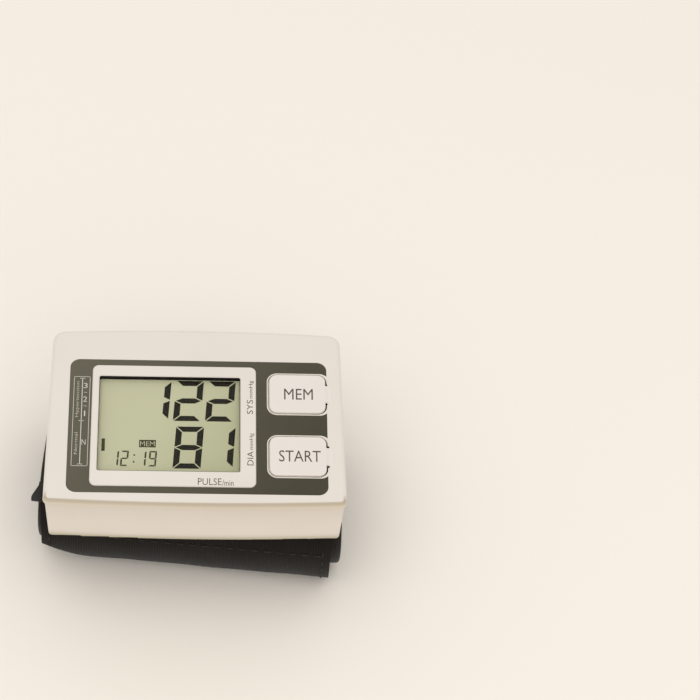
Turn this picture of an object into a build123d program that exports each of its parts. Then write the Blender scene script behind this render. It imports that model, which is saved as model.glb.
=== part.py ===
from build123d import *
from math import cos, radians, sin, tan
import os

# Wrist blood pressure monitor, lying face up on its closed cuff. Millimetres, +Z up.
# The origin is in the resting plane, under the middle of the case. X runs along the wrist,
# -Y is the side that faces the wearer, and the display face is level on top.

# ---- Driving dimensions: case ----
case_front_width = 75.0
case_rear_width = 73.0
case_depth = 53.6
case_height = 18.2
front_bow = 0.9
rear_bow = 1.0
front_corner_r = 1.6
rear_corner_r = 3.3
least_corner_r = 0.8
face_thick = 1.8
case_wall = 1.7
brow_height = 2.1
brow_overhang = 0.45
brow_top_r = 1.2
brow_bottom_r = 0.45
skirt_draft = 2.5
skirt_bottom_r = 1.4
floor_thick = 1.6
shell_clearance = 0.12

# ---- Driving dimensions: display panel, window and keys, in plan ----
panel_x = 0.5
panel_y = -3.2
panel_width = 64.8
panel_depth = 40.2
panel_r = 2.5
panel_thick = 0.4
frame_left_edge = 5.7
frame_right_edge = 17.9
frame_end_edge = 1.95
frame_r = 1.6
frame_rise = 0.4
window_left_edge = 1.75
window_right_edge = 3.95
window_front_edge = 4.45
window_rear_edge = 3.25
window_r = 0.5
lens_thick = 0.8
lens_rim = 1.0
bond_clearance = 0.05
key_width = 14.9
key_depth = 12.3
mem_key_edge = 3.75
start_key_edge = 5.25
key_r = 2.4
key_slot = 0.35
key_rim = 0.25
key_rise = 0.45
key_thick = 1.4
key_edge_r = 0.35
neck_width = 5.2
neck_gap = 0.15
neck_root = 2.0
dot_r = 0.5
post_r = 1.5

# ---- Driving dimensions: display stack and board ----
lcd_side = 1.0
lcd_end = 1.5
lcd_thick = 1.6
lcd_gap = 0.1
holder_wall = 1.0
holder_floor = 1.0
board_drop = 4.6
board_thick = 1.0
board_left = -32.0
board_right = 32.4
board_front_gap = 4.6
board_rear = 3.9
board_arm_left = 17.3
board_arm_rear = 19.0
zebra_width = 1.8
zebra_inset = 0.4
zebra_clearance = 0.1
switch_size = 6.0
switch_height = 1.7
plunger_r = 1.5
plunger_rise = 0.55
plunger_depth = 0.8
plunger_well = 1.2
plunger_gap = 0.05
plunger_clearance = 0.15

# ---- Driving dimensions: cells and their bay ----
cell_r = 5.25
cell_length = 43.7
nub_r = 1.9
nub_length = 0.8
cell_gap = 0.15
cell_seat = 0.1
cell_edge_r = 0.5
bay_left = -32.7
cell_wall_gap = 3.6
bay_wall = 1.0
bay_height = 8.6
bay_clearance = 0.2
bay_mouth_cut = 1.4
contact_thick = 0.4
contact_width = 7.0
spring_wire_r = 0.35
spring_turns = 4
spring_pitch = 0.62
spring_r = 3.4
spring_taper = 0.25
spring_bite = 0.1
lead_r = 0.4
lead_length = 2.6
door_left = -31.2
door_right = 15.2
door_top = 4.4
door_clearance = 0.2
door_rib_count = 5
door_rib_pitch = 1.4
door_rib_length = 12.0
door_rib_width = 0.6
door_rib_r = 0.25
door_rib_inset = 1.2
door_rib_depth = 1.35

# ---- Driving dimensions: pump, valve, sensor and air lines ----
air_x = 0.0
manifold_gap = 0.15
air_rise = 3.1
nozzle_r = 1.1
nozzle_bore_r = 0.6
nozzle_length = 1.9
nozzle_depth = 1.0
tube_r = 1.9
tube_bend_r = 2.5
tube_seat = 0.1
port_bore_r = 0.9
port_clearance = 0.3
port_depth = 1.4
manifold_size = 5.4
pump_left = 2.2
pump_y = -11.9
pump_pad = 0.6
pump_nozzle_x = 9.2
pump_length = 12.0
pump_width = 12.0
pump_height = 8.8
pump_corner_r = 1.0
pump_cavity_r = 3.9
pump_cavity_length = 8.0
diaphragm_thick = 0.3
crank_r = 3.4
crank_thick = 2.5
crank_throw = 2.2
crank_pin_r = 0.5
crank_pin_length = 1.2
crank_gap = 1.8
motor_length = 12.0
motor_cap_thick = 1.2
motor_width = 10.0
motor_height = 8.0
motor_wall = 0.6
shaft_r = 0.75
shaft_clearance = 0.05
rotor_r = 2.9
rotor_length = 9.0
cradle_wall = 0.7
cradle_side = 0.4
cradle_height = 5.0
cradle_end = 1.0
motor_lead_start = 1.6
motor_lead_pitch = 2.4
motor_lead_reach = 2.0
lead_bend_r = 1.2
valve_left = -27.5
valve_offset = 1.5
valve_length = 11.0
valve_width = 9.0
valve_height = 8.0
valve_line_drop = 7.9
valve_wall = 1.0
valve_bore_rise = 1.0
valve_bore_r = 1.6
valve_plunger_r = 1.5
valve_plunger_length = 7.5
sensor_x = -22.5
sensor_size = 5.4
sensor_height = 2.6
sensor_nozzle = 1.2
buzzer_x = 24.0
buzzer_y = 11.0
buzzer_r = 5.5
buzzer_height = 2.6
buzzer_hole_r = 1.0
chip_x = -9.0
chip_y = -13.5
chip_size = 8.0
chip_thick = 1.0
component_y = -5.0
component_pitch = 2.2
component_count = 5
component_width = 0.8
component_length = 1.6
component_height = 0.6
filter_x = 8.0
filter_y = 0.3
filter_count = 3

# ---- Driving dimensions: screws ----
screw_r = 1.0
screw_head_r = 1.7
screw_head_height = 0.9
screw_reach = 5.5
board_screw_grip = 2.2
bore_spare = 0.2
hole_clearance = 0.2
boss_clearance = 0.4
screw_slot_length = 1.8
screw_slot_width = 0.4
boss_r = 2.3
case_screw_left_gap = 7.0
case_screw_right_gap = 6.4
case_screw_front_gap = 6.3
case_screw_rear_gap = 7.6
board_post_r = 2.0
board_post_left = (-30.0, -5.0)
board_post_right = (29.6, 0.75)
board_post_front_x = 16.2
board_post_edge = 1.8

# ---- Driving dimensions: cuff ----
cuff_skew = 5.3
cuff_x = 0.88
cuff_y = 5.25
cuff_width = 78.3
cuff_end_trim = 7.2
cuff_reach = 43.0
cuff_height = 27.0
fabric_thick = 1.0
lining_thick = 0.8
shell_thick = 0.8
bladder_thick = 1.2
bladder_side = 11.15
bladder_drop = 2.9
layer_gap = 0.1
binding_width = 1.0
saddle_thick = 2.0
saddle_width = 68.0
saddle_port_edge = 3.5
saddle_rear = 11.55
saddle_screw_x = 29.5
saddle_screw_y = 6.0
saddle_grip = 1.4
saddle_corner_r = 3.0
flange_r = 3.2
flange_thick = 0.6

# ---- Driving dimensions: strap and D-ring ----
ring_wire_r = 0.8
ring_end_gap = 0.1
ring_shift = -1.4
ring_rear_corner_r = 1.9
ring_front_corner_r = 1.1
ring_rear_angle = 33.5
ring_rear_lift = 1.3
ring_front_angle = 46.0
ring_front_lift = 2.9
sleeve_thick = 0.6
sleeve_clearance = 0.1
sleeve_side = 3.15
fold_thick = 0.8
fold_clearance = 0.3
strap_side = 2.15
strap_shift = -0.57
strap_gap = 1.9
strap_thick = 2.0
strap_start_angle = 42.0
strap_hinge_angle = 65.0
strap_hinge_gap = 0.3
strap_seam_angle = 100.0
strap_end_angle = 170.0
strap_table_gap = 0.4
tail_clip_width = 18.0
tail_clip_height = 12.5
hook_thick = 1.6
hook_margin = 6.0
hook_start = 8.0
hook_end_angle = 140.0

# ---- Plan sizes that follow the panel and the cuff ----
frame_width = panel_width - frame_left_edge - frame_right_edge
frame_depth = panel_depth - 2 * frame_end_edge
frame_x = (frame_left_edge - frame_right_edge) / 2
window_width = frame_width - window_left_edge - window_right_edge
window_depth = frame_depth - window_front_edge - window_rear_edge
window_x = frame_x + (window_left_edge - window_right_edge) / 2
window_y = (window_front_edge - window_rear_edge) / 2
key_x = (panel_width - key_width) / 2
mem_key_y = (panel_depth - key_depth) / 2 - mem_key_edge
start_key_y = start_key_edge - (panel_depth - key_depth) / 2
lcd_width = window_width + 2 * lcd_side
lcd_depth = window_depth + 2 * lcd_end
bladder_width = cuff_width - 2 * bladder_side
sleeve_width = cuff_width - 2 * sleeve_side
strap_width = cuff_width - 2 * strap_side
ring_half_length = cuff_width / 2 - ring_end_gap

# ---- Places in plan that follow the case and the cells ----
cell_rear = case_depth / 2 - cell_wall_gap - panel_y
bay_depth = 4 * cell_r + cell_gap + bay_clearance
bay_front = cell_rear + bay_clearance / 2 - bay_depth
air_y = bay_front - bay_wall - manifold_gap - manifold_size / 2
valve_line_y = air_y - valve_line_drop
valve_y = valve_line_y - valve_offset
saddle_front = panel_y + air_y - cuff_y - saddle_port_edge
board_front = board_front_gap - case_depth / 2 - panel_y
board_posts = [board_post_left, (board_post_front_x, board_front + board_post_edge), board_post_right]
case_screw_front = case_screw_front_gap - case_depth / 2
case_screw_right = case_front_width / 2 - case_screw_right_gap
case_screws_at = [
    (case_screw_left_gap - case_front_width / 2, case_screw_front),
    (case_screw_right, case_screw_front),
    (case_screw_right, case_depth / 2 - case_screw_rear_gap),
]

# ---- Levels worked out from the driving dimensions ----
case_bottom = cuff_height + layer_gap + saddle_thick
face_z = case_bottom + case_height
face_under = face_z - face_thick
floor_top = case_bottom + floor_thick
board_top = face_z - board_drop
board_under = board_top - board_thick
air_z = floor_top + air_rise
skirt_inset = brow_overhang
cavity_inset = skirt_inset + case_wall
draft_slope = tan(radians(skirt_draft))


def plan(x, y):
    """Place on the face, given from the middle of the display panel."""
    return (panel_x + x, panel_y + y)


def case_outline(sketch, inset):
    """Plan of the case, drawn inset inside the brow's edge."""
    front = case_front_width / 2 - inset
    rear = case_rear_width / 2 - inset
    near = -case_depth / 2 + inset
    far = case_depth / 2 - inset
    with BuildLine() as edge:
        ThreePointArc((-front, near + front_bow), (0, near), (front, near + front_bow))
        Line((front, near + front_bow), (rear, far - rear_bow))
        ThreePointArc((rear, far - rear_bow), (0, far), (-rear, far - rear_bow))
        Line((-rear, far - rear_bow), (-front, near + front_bow))
    make_face(edge.edges())
    corners = sketch.vertices().sort_by(Axis.Y)
    fillet(corners[:2], max(front_corner_r - inset / 2, least_corner_r))
    fillet(sketch.vertices().group_by(Axis.Y)[-1], max(rear_corner_r - inset, least_corner_r))


def key_outline(sketch, centre, inset):
    """Rounded outline of one key, drawn inset inside its opening."""
    with Locations(centre):
        RectangleRounded(key_width - 2 * inset, key_depth - 2 * inset, key_r - inset)


# ---- Upper case ----
mem_centre = plan(key_x, mem_key_y)
start_centre = plan(key_x, start_key_y)
key_centres = [mem_centre, start_centre]
key_right = key_width / 2
frame_centre = plan(frame_x, 0)
window_centre = plan(window_x, window_y)
board_posts_at = [plan(x, y) for x, y in board_posts]
skirt_height = case_height - brow_height
door_box_width = door_right - door_left
door_centre_x = panel_x + (door_left + door_right) / 2
door_box_height = case_height - door_top
door_centre_z = case_bottom + door_box_height / 2
rear_wall_y = case_depth / 2 - skirt_inset - case_wall / 2
door_reach = 8.0

with BuildPart() as upper_case:
    with BuildSketch(Plane.XY.offset(face_z - brow_height)) as brow_sketch:
        case_outline(brow_sketch, 0)
    extrude(amount=brow_height)
    fillet(upper_case.faces().sort_by(Axis.Z)[-1].edges(), brow_top_r)
    fillet(upper_case.faces().sort_by(Axis.Z)[0].edges(), brow_bottom_r)
    with BuildSketch(Plane.XY.offset(face_z - brow_height)) as skirt_sketch:
        case_outline(skirt_sketch, skirt_inset)
    extrude(amount=-skirt_height, taper=skirt_draft)
    fillet(upper_case.faces().sort_by(Axis.Z)[0].edges(), skirt_bottom_r)
    with BuildSketch(Plane.XY.offset(face_under)) as cavity_sketch:
        case_outline(cavity_sketch, cavity_inset)
    extrude(amount=-(case_height - face_thick), taper=skirt_draft, mode=Mode.SUBTRACT)
    # Recess for the printed panel, leaving a low rim round each key.
    with BuildSketch(Plane.XY.offset(face_z)) as recess_sketch:
        with Locations(plan(0, 0)):
            RectangleRounded(panel_width, panel_depth, panel_r)
        for centre in key_centres:
            with Locations((centre[0] + key_rim, centre[1])):
                RectangleRounded(
                    key_width + 4 * key_rim, key_depth + 2 * key_rim, key_r + key_rim, mode=Mode.SUBTRACT
                )
    extrude(amount=-panel_thick, mode=Mode.SUBTRACT)
    with BuildSketch(Plane.XY.offset(face_z - panel_thick)):
        with Locations(window_centre):
            Rectangle(window_width + 2 * lens_rim, window_depth + 2 * lens_rim)
    extrude(amount=-lens_thick, mode=Mode.SUBTRACT)
    with BuildSketch(Plane.XY.offset(face_z)):
        with Locations(window_centre):
            Rectangle(window_width, window_depth)
    extrude(amount=-face_thick, mode=Mode.SUBTRACT)
    # Key openings: a slot all round that ends in a stress-relief dot each side of the neck.
    with BuildSketch(Plane.XY.offset(face_z)) as key_sketch:
        for centre in key_centres:
            key_outline(key_sketch, centre, 0)
            with Locations(
                (centre[0] + key_right - dot_r, centre[1] + neck_width / 2 + dot_r),
                (centre[0] + key_right - dot_r, centre[1] - neck_width / 2 - dot_r),
            ):
                Circle(dot_r)
    extrude(amount=-face_thick, mode=Mode.SUBTRACT)
    # Bosses for the case screws and posts for the board, hanging from the face.
    with BuildSketch(Plane.XY.offset(floor_top)):
        with Locations(*case_screws_at):
            Circle(boss_r)
    extrude(amount=face_under - floor_top + shell_clearance)
    with BuildSketch(Plane.XY.offset(board_top)):
        with Locations(*board_posts_at):
            Circle(board_post_r)
    extrude(amount=face_under - board_top + shell_clearance)
    with BuildSketch(Plane.XY.offset(floor_top)):
        with Locations(*case_screws_at):
            Circle(screw_r)
    extrude(amount=screw_reach + bore_spare, mode=Mode.SUBTRACT)
    with BuildSketch(Plane.XY.offset(board_top)):
        with Locations(*board_posts_at):
            Circle(screw_r)
    extrude(amount=board_screw_grip + bore_spare, mode=Mode.SUBTRACT)
    # Doorway for the cells in the rear wall.
    with Locations((door_centre_x, rear_wall_y, door_centre_z)):
        Box(
            door_box_width + 2 * door_clearance,
            door_reach,
            door_box_height + 2 * door_clearance,
            mode=Mode.SUBTRACT,
        )
upper_case.part.label = "upper_case"

# ---- Battery door: the piece of the rear wall that fills the doorway ----
with BuildPart() as battery_door:
    with BuildSketch(Plane.XY.offset(face_z - brow_height)) as door_outer:
        case_outline(door_outer, skirt_inset)
    extrude(amount=-skirt_height, taper=skirt_draft)
    fillet(battery_door.faces().sort_by(Axis.Z)[0].edges(), skirt_bottom_r)
    with BuildSketch(Plane.XY.offset(face_under)) as door_inner:
        case_outline(door_inner, cavity_inset)
    extrude(amount=-(case_height - face_thick), taper=skirt_draft, mode=Mode.SUBTRACT)
    with Locations((door_centre_x, rear_wall_y, door_centre_z)):
        Box(door_box_width, door_reach, door_box_height, mode=Mode.INTERSECT)
    # Finger ribs on the outside.
    with BuildSketch(Plane.XZ.offset(-(case_depth / 2 - skirt_inset - door_rib_inset))):
        with Locations((door_centre_x, door_centre_z)):
            with GridLocations(0, door_rib_pitch, 1, door_rib_count):
                RectangleRounded(door_rib_length, door_rib_width, door_rib_r)
    extrude(amount=-door_rib_depth)
battery_door.part.label = "battery_door"

# ---- Lower case: floor of the shell, with the bay for the cells ----
floor_inset = cavity_inset + (case_height - face_thick - floor_thick) * draft_slope + shell_clearance
spring_length = (spring_turns - 1) * spring_pitch + 2 * spring_wire_r - spring_bite
bay_width = 2 * contact_thick + spring_length + cell_length + nub_length + cell_seat
bay_centre = plan(bay_left + bay_width / 2, bay_front + bay_depth / 2)
bay_right = bay_left + bay_width
cell_z = floor_top + cell_seat + cell_r
front_cell_y = panel_y + cell_rear - 3 * cell_r - cell_gap
rear_cell_y = panel_y + cell_rear - cell_r
cuff_centre = Vector(cuff_x, cuff_y, 0)
skew = radians(cuff_skew)
along = Vector(cos(skew), -sin(skew), 0)
back = Vector(sin(skew), cos(skew), 0)


def cuff_plane(distance):
    """Cross-section plane of the cuff, square to its axis, at a distance along it."""
    middle = cuff_centre + along * distance + Vector(0, 0, cuff_height / 2)
    return Plane(origin=middle, x_dir=back, z_dir=along)


def cuff_level(height):
    """Level plane turned with the cuff, at a height above the resting plane."""
    return Plane(origin=cuff_centre + Vector(0, 0, height), x_dir=along, z_dir=(0, 0, 1))


saddle_screws_at = [
    (side * saddle_screw_x, cross * saddle_screw_y) for side in (-1, 1) for cross in (-1, 1)
]
air_place = plan(air_x, air_y)

with BuildPart() as lower_case:
    with BuildSketch(Plane.XY.offset(floor_top)) as floor_sketch:
        case_outline(floor_sketch, floor_inset)
    extrude(amount=-floor_thick, taper=skirt_draft)
    with BuildSketch(Plane.XY.offset(floor_top)):
        with Locations(bay_centre):
            Rectangle(bay_width + 2 * bay_wall, bay_depth + 2 * bay_wall)
            Rectangle(bay_width, bay_depth, mode=Mode.SUBTRACT)
    extrude(amount=bay_height)
    # The bay is open at the rear, behind the door.
    with BuildSketch(Plane.XY.offset(floor_top)):
        with Locations((bay_centre[0], bay_centre[1] + bay_depth / 2 + (bay_wall - bay_mouth_cut) / 2)):
            Rectangle(bay_width + 4 * bay_wall, bay_wall + bay_mouth_cut)
    extrude(amount=bay_height, mode=Mode.SUBTRACT)
    with BuildSketch(Plane.XY.offset(case_bottom)):
        with Locations(*case_screws_at):
            Circle(screw_r + hole_clearance)
        with Locations(air_place):
            Circle(tube_r + port_clearance)
    extrude(amount=floor_thick, mode=Mode.SUBTRACT)
    with BuildSketch(Plane.XY.offset(case_bottom)):
        with Locations(*case_screws_at):
            Circle(screw_head_r + hole_clearance)
    extrude(amount=screw_head_height, mode=Mode.SUBTRACT)
    with BuildSketch(cuff_level(case_bottom)):
        with Locations(*saddle_screws_at):
            Circle(screw_r)
    extrude(amount=saddle_grip, mode=Mode.SUBTRACT)
lower_case.part.label = "lower_case"

# ---- Printed panel, window frame and lens ----
with BuildPart() as display_panel:
    with BuildSketch(Plane.XY.offset(face_z - panel_thick)):
        with Locations(plan(0, 0)):
            RectangleRounded(
                panel_width - 2 * bond_clearance, panel_depth - 2 * bond_clearance, panel_r
            )
        with Locations(frame_centre):
            RectangleRounded(
                frame_width + 2 * bond_clearance,
                frame_depth + 2 * bond_clearance,
                frame_r,
                mode=Mode.SUBTRACT,
            )
        for centre in key_centres:
            with Locations((centre[0] + key_rim, centre[1])):
                RectangleRounded(
                    key_width + 4 * key_rim + 2 * bond_clearance,
                    key_depth + 2 * key_rim + 2 * bond_clearance,
                    key_r + key_rim,
                    mode=Mode.SUBTRACT,
                )
    extrude(amount=panel_thick)
display_panel.part.label = "display_panel"

with BuildPart() as display_frame:
    with BuildSketch(Plane.XY.offset(face_z - panel_thick)):
        with Locations(frame_centre):
            RectangleRounded(frame_width, frame_depth, frame_r)
        with Locations(window_centre):
            RectangleRounded(window_width, window_depth, window_r, mode=Mode.SUBTRACT)
    extrude(amount=panel_thick + frame_rise)
    chamfer(display_frame.faces().sort_by(Axis.Z)[-1].edges(), frame_rise / 2)
display_frame.part.label = "display_frame"

with BuildPart() as display_lens:
    with BuildSketch(Plane.XY.offset(face_z - panel_thick - lens_thick)):
        with Locations(window_centre):
            Rectangle(
                window_width + 2 * lens_rim - 2 * bond_clearance,
                window_depth + 2 * lens_rim - 2 * bond_clearance,
            )
    extrude(amount=lens_thick)
display_lens.part.label = "display_lens"

# ---- Liquid crystal display, its tray and the contact strip ----
lcd_top = face_under - lcd_gap
lcd_under = lcd_top - lcd_thick

with BuildPart() as lcd_glass:
    with BuildSketch(Plane.XY.offset(lcd_under)):
        with Locations(window_centre):
            Rectangle(lcd_width, lcd_depth)
    extrude(amount=lcd_thick)
lcd_glass.part.label = "lcd_glass"

tray_under = lcd_under - holder_floor
zebra_length = lcd_width - 4 * zebra_inset
zebra_place = (window_centre[0], window_centre[1] - lcd_depth / 2 + zebra_inset + zebra_width / 2)

with BuildPart() as lcd_tray:
    with BuildSketch(Plane.XY.offset(tray_under)):
        with Locations(window_centre):
            Rectangle(lcd_width + 2 * holder_wall, lcd_depth + 2 * holder_wall)
    extrude(amount=holder_floor + lcd_thick)
    with BuildSketch(Plane.XY.offset(lcd_under)):
        with Locations(window_centre):
            Rectangle(lcd_width + 2 * bond_clearance, lcd_depth + 2 * bond_clearance)
    extrude(amount=lcd_thick, mode=Mode.SUBTRACT)
    with BuildSketch(Plane.XY.offset(tray_under)):
        with Locations(zebra_place):
            Rectangle(zebra_length + 2 * zebra_clearance, zebra_width + 2 * zebra_clearance)
    extrude(amount=holder_floor, mode=Mode.SUBTRACT)
lcd_tray.part.label = "lcd_tray"

with BuildPart() as contact_strip:
    with BuildSketch(Plane.XY.offset(board_top)):
        with Locations(zebra_place):
            Rectangle(zebra_length, zebra_width)
    extrude(amount=lcd_under - board_top)
contact_strip.part.label = "contact_strip"

# ---- Circuit board and what is on it ----
board_cut_r = boss_r + boss_clearance

with BuildPart() as main_board:
    with BuildSketch(Plane.XY.offset(board_under)):
        with Locations(plan((board_left + board_right) / 2, (board_front + board_rear) / 2)):
            Rectangle(board_right - board_left, board_rear - board_front)
        with Locations(plan((board_arm_left + board_right) / 2, (board_rear + board_arm_rear) / 2)):
            Rectangle(board_right - board_arm_left, board_arm_rear - board_rear)
        with Locations(*case_screws_at):
            Circle(board_cut_r, mode=Mode.SUBTRACT)
        with Locations(*board_posts_at):
            Circle(screw_r + hole_clearance, mode=Mode.SUBTRACT)
    extrude(amount=board_thick)
main_board.part.label = "main_board"

with BuildPart() as processor_chip:
    with BuildSketch(Plane.XY.offset(board_under)):
        with Locations(plan(chip_x, chip_y)):
            Rectangle(chip_size, chip_size)
    extrude(amount=-chip_thick)
processor_chip.part.label = "processor_chip"

with BuildPart() as board_components:
    with BuildSketch(Plane.XY.offset(board_under)):
        with Locations(plan(chip_x, component_y)):
            with GridLocations(component_pitch, 0, component_count, 1):
                Rectangle(component_width, component_length)
        with Locations(plan(filter_x, filter_y)):
            with GridLocations(component_pitch, 0, filter_count, 1):
                Rectangle(component_width, component_length)
    extrude(amount=-component_height)
board_components.part.label = "board_components"

with BuildPart() as buzzer:
    with BuildSketch(Plane.XY.offset(board_under)):
        with Locations(plan(buzzer_x, buzzer_y)):
            Circle(buzzer_r)
    extrude(amount=-buzzer_height)
    with BuildSketch(Plane.XY.offset(board_under - buzzer_height)):
        with Locations(plan(buzzer_x, buzzer_y)):
            Circle(buzzer_hole_r)
    extrude(amount=buzzer_height / 2, mode=Mode.SUBTRACT)
buzzer.part.label = "buzzer"

# ---- Keys and the dome switches under them ----
key_under = face_z - key_thick
switch_top = board_top + switch_height
plunger_top = switch_top + plunger_rise

with BuildPart() as mem_key:
    with BuildSketch(Plane.XY.offset(key_under)) as mem_outline:
        key_outline(mem_outline, mem_centre, key_slot)
        with Locations((mem_centre[0] + key_right - neck_gap - neck_root / 2, mem_centre[1])):
            Rectangle(neck_root, neck_width)
    extrude(amount=key_thick + key_rise)
    fillet(mem_key.faces().sort_by(Axis.Z)[-1].edges(), key_edge_r)
    with BuildSketch(Plane.XY.offset(plunger_top + plunger_gap)):
        with Locations(mem_centre):
            Circle(post_r)
    extrude(amount=key_under - plunger_top)
mem_key.part.label = "mem_key"

with BuildPart() as start_key:
    with BuildSketch(Plane.XY.offset(key_under)) as start_outline:
        key_outline(start_outline, start_centre, key_slot)
        with Locations((start_centre[0] + key_right - neck_gap - neck_root / 2, start_centre[1])):
            Rectangle(neck_root, neck_width)
    extrude(amount=key_thick + key_rise)
    fillet(start_key.faces().sort_by(Axis.Z)[-1].edges(), key_edge_r)
    with BuildSketch(Plane.XY.offset(plunger_top + plunger_gap)):
        with Locations(start_centre):
            Circle(post_r)
    extrude(amount=key_under - plunger_top)
start_key.part.label = "start_key"

with BuildPart() as mem_switch:
    with BuildSketch(Plane.XY.offset(board_top)):
        with Locations(mem_centre):
            Rectangle(switch_size, switch_size)
    extrude(amount=switch_height)
    with BuildSketch(Plane.XY.offset(switch_top)):
        with Locations(mem_centre):
            Circle(plunger_r + plunger_clearance)
    extrude(amount=-plunger_well, mode=Mode.SUBTRACT)
mem_switch.part.label = "mem_switch"

with BuildPart() as mem_plunger:
    with BuildSketch(Plane.XY.offset(plunger_top)):
        with Locations(mem_centre):
            Circle(plunger_r)
    extrude(amount=-(plunger_rise + plunger_depth))
mem_plunger.part.label = "mem_plunger"

with BuildPart() as start_switch:
    with BuildSketch(Plane.XY.offset(board_top)):
        with Locations(start_centre):
            Rectangle(switch_size, switch_size)
    extrude(amount=switch_height)
    with BuildSketch(Plane.XY.offset(switch_top)):
        with Locations(start_centre):
            Circle(plunger_r + plunger_clearance)
    extrude(amount=-plunger_well, mode=Mode.SUBTRACT)
start_switch.part.label = "start_switch"

with BuildPart() as start_plunger:
    with BuildSketch(Plane.XY.offset(plunger_top)):
        with Locations(start_centre):
            Circle(plunger_r)
    extrude(amount=-(plunger_rise + plunger_depth))
start_plunger.part.label = "start_plunger"

# ---- Cells and contacts: the front cell points right, the rear one left ----
bay_x = panel_x + bay_left
bay_end_x = panel_x + bay_right
front_cell_x = bay_x + contact_thick + spring_length + cell_seat / 2
rear_cell_x = bay_end_x - contact_thick - spring_length - cell_seat / 2


def upright_plane(x, y, z, facing):
    """Upright plane across X at a place, facing +X or -X."""
    return Plane(origin=(x, y, z), x_dir=(0, 1, 0), z_dir=(facing, 0, 0))


with BuildPart() as battery_cell_1:
    with BuildSketch(upright_plane(front_cell_x, front_cell_y, cell_z, 1)):
        Circle(cell_r)
    extrude(amount=cell_length)
    fillet(battery_cell_1.edges().filter_by(GeomType.CIRCLE), cell_edge_r)
    with BuildSketch(upright_plane(front_cell_x + cell_length, front_cell_y, cell_z, 1)):
        Circle(nub_r)
    extrude(amount=nub_length)
battery_cell_1.part.label = "battery_cell_1"

with BuildPart() as battery_cell_2:
    with BuildSketch(upright_plane(rear_cell_x, rear_cell_y, cell_z, -1)):
        Circle(cell_r)
    extrude(amount=cell_length)
    fillet(battery_cell_2.edges().filter_by(GeomType.CIRCLE), cell_edge_r)
    with BuildSketch(upright_plane(rear_cell_x - cell_length, rear_cell_y, cell_z, -1)):
        Circle(nub_r)
    extrude(amount=nub_length)
battery_cell_2.part.label = "battery_cell_2"


def spring_turn_places(x, y, facing):
    """Centre and radius of each turn of a contact spring that narrows towards the cell."""
    places = []
    for turn in range(spring_turns):
        reach = spring_wire_r - spring_bite + turn * spring_pitch
        places.append(((x + facing * reach, y, cell_z), spring_r - turn * spring_taper))
    return places


contact_height = board_under - layer_gap - floor_top - cell_seat
contact_z = floor_top + cell_seat + contact_height / 2

with BuildPart() as link_contact:
    with BuildSketch(upright_plane(bay_x, (front_cell_y + rear_cell_y) / 2, contact_z, 1)):
        Rectangle(2 * cell_r + contact_width, contact_height)
    extrude(amount=contact_thick)
    for middle, radius in spring_turn_places(bay_x + contact_thick, front_cell_y, 1):
        with Locations(Plane(origin=middle, z_dir=(1, 0, 0))):
            Torus(radius, spring_wire_r)
link_contact.part.label = "link_contact"

with BuildPart() as positive_contact:
    with BuildSketch(upright_plane(bay_end_x, front_cell_y, contact_z, 1)):
        Rectangle(contact_width, contact_height)
    extrude(amount=-contact_thick)
positive_contact.part.label = "positive_contact"

with BuildPart() as negative_contact:
    with BuildSketch(upright_plane(bay_end_x, rear_cell_y, contact_z, 1)):
        Rectangle(contact_width, contact_height)
    extrude(amount=-contact_thick)
    for middle, radius in spring_turn_places(bay_end_x - contact_thick, rear_cell_y, -1):
        with Locations(Plane(origin=middle, z_dir=(1, 0, 0))):
            Torus(radius, spring_wire_r)
negative_contact.part.label = "negative_contact"

with BuildPart() as battery_leads:
    for lead_y in (front_cell_y, rear_cell_y - contact_width / 2 + 2 * lead_r):
        with BuildSketch(upright_plane(bay_end_x, lead_y, board_under - lead_r, 1)):
            Circle(lead_r)
        extrude(amount=lead_length)
battery_leads.part.label = "battery_leads"

# ---- Pump: motor, shaft, crank and diaphragm head on a rubber cradle ----
pump_x = panel_x + pump_left
pump_mid_y = panel_y + pump_y
pump_z = floor_top + pump_pad + layer_gap / 2 + pump_height / 2
pump_end_x = pump_x + pump_length
motor_end_x = pump_end_x + motor_length
cap_end_x = motor_end_x + motor_cap_thick
crank_x = pump_end_x - pump_cavity_length + diaphragm_thick + crank_gap
pump_nozzle_at_x = panel_x + pump_nozzle_x
pump_back_y = pump_mid_y + pump_width / 2


def pump_plane(x):
    """Upright plane across the pump's shaft, facing +X."""
    return upright_plane(x, pump_mid_y, pump_z, 1)


with BuildPart() as pump_head:
    with BuildSketch(pump_plane(pump_x)):
        RectangleRounded(pump_width, pump_height, pump_corner_r)
    extrude(amount=pump_length)
    with BuildSketch(pump_plane(pump_end_x)):
        Circle(pump_cavity_r)
    extrude(amount=-pump_cavity_length, mode=Mode.SUBTRACT)
    with BuildSketch(Plane(origin=(pump_nozzle_at_x, pump_back_y, air_z), z_dir=(0, 1, 0))):
        Circle(nozzle_r)
    extrude(amount=nozzle_length)
    with BuildSketch(
        Plane(origin=(pump_nozzle_at_x, pump_back_y + nozzle_length, air_z), z_dir=(0, 1, 0))
    ):
        Circle(nozzle_bore_r)
    extrude(amount=-(nozzle_length + nozzle_depth), mode=Mode.SUBTRACT)
pump_head.part.label = "pump_head"

with BuildPart() as pump_diaphragm:
    with BuildSketch(pump_plane(pump_end_x - pump_cavity_length)):
        Circle(pump_cavity_r)
    extrude(amount=diaphragm_thick)
pump_diaphragm.part.label = "pump_diaphragm"

with BuildPart() as pump_crank:
    with BuildSketch(pump_plane(crank_x)):
        Circle(crank_r)
        Circle(shaft_r, mode=Mode.SUBTRACT)
    extrude(amount=crank_thick)
    with BuildSketch(pump_plane(crank_x)):
        with Locations((0, crank_throw)):
            Circle(crank_pin_r)
    extrude(amount=-crank_pin_length)
pump_crank.part.label = "pump_crank"

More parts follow.
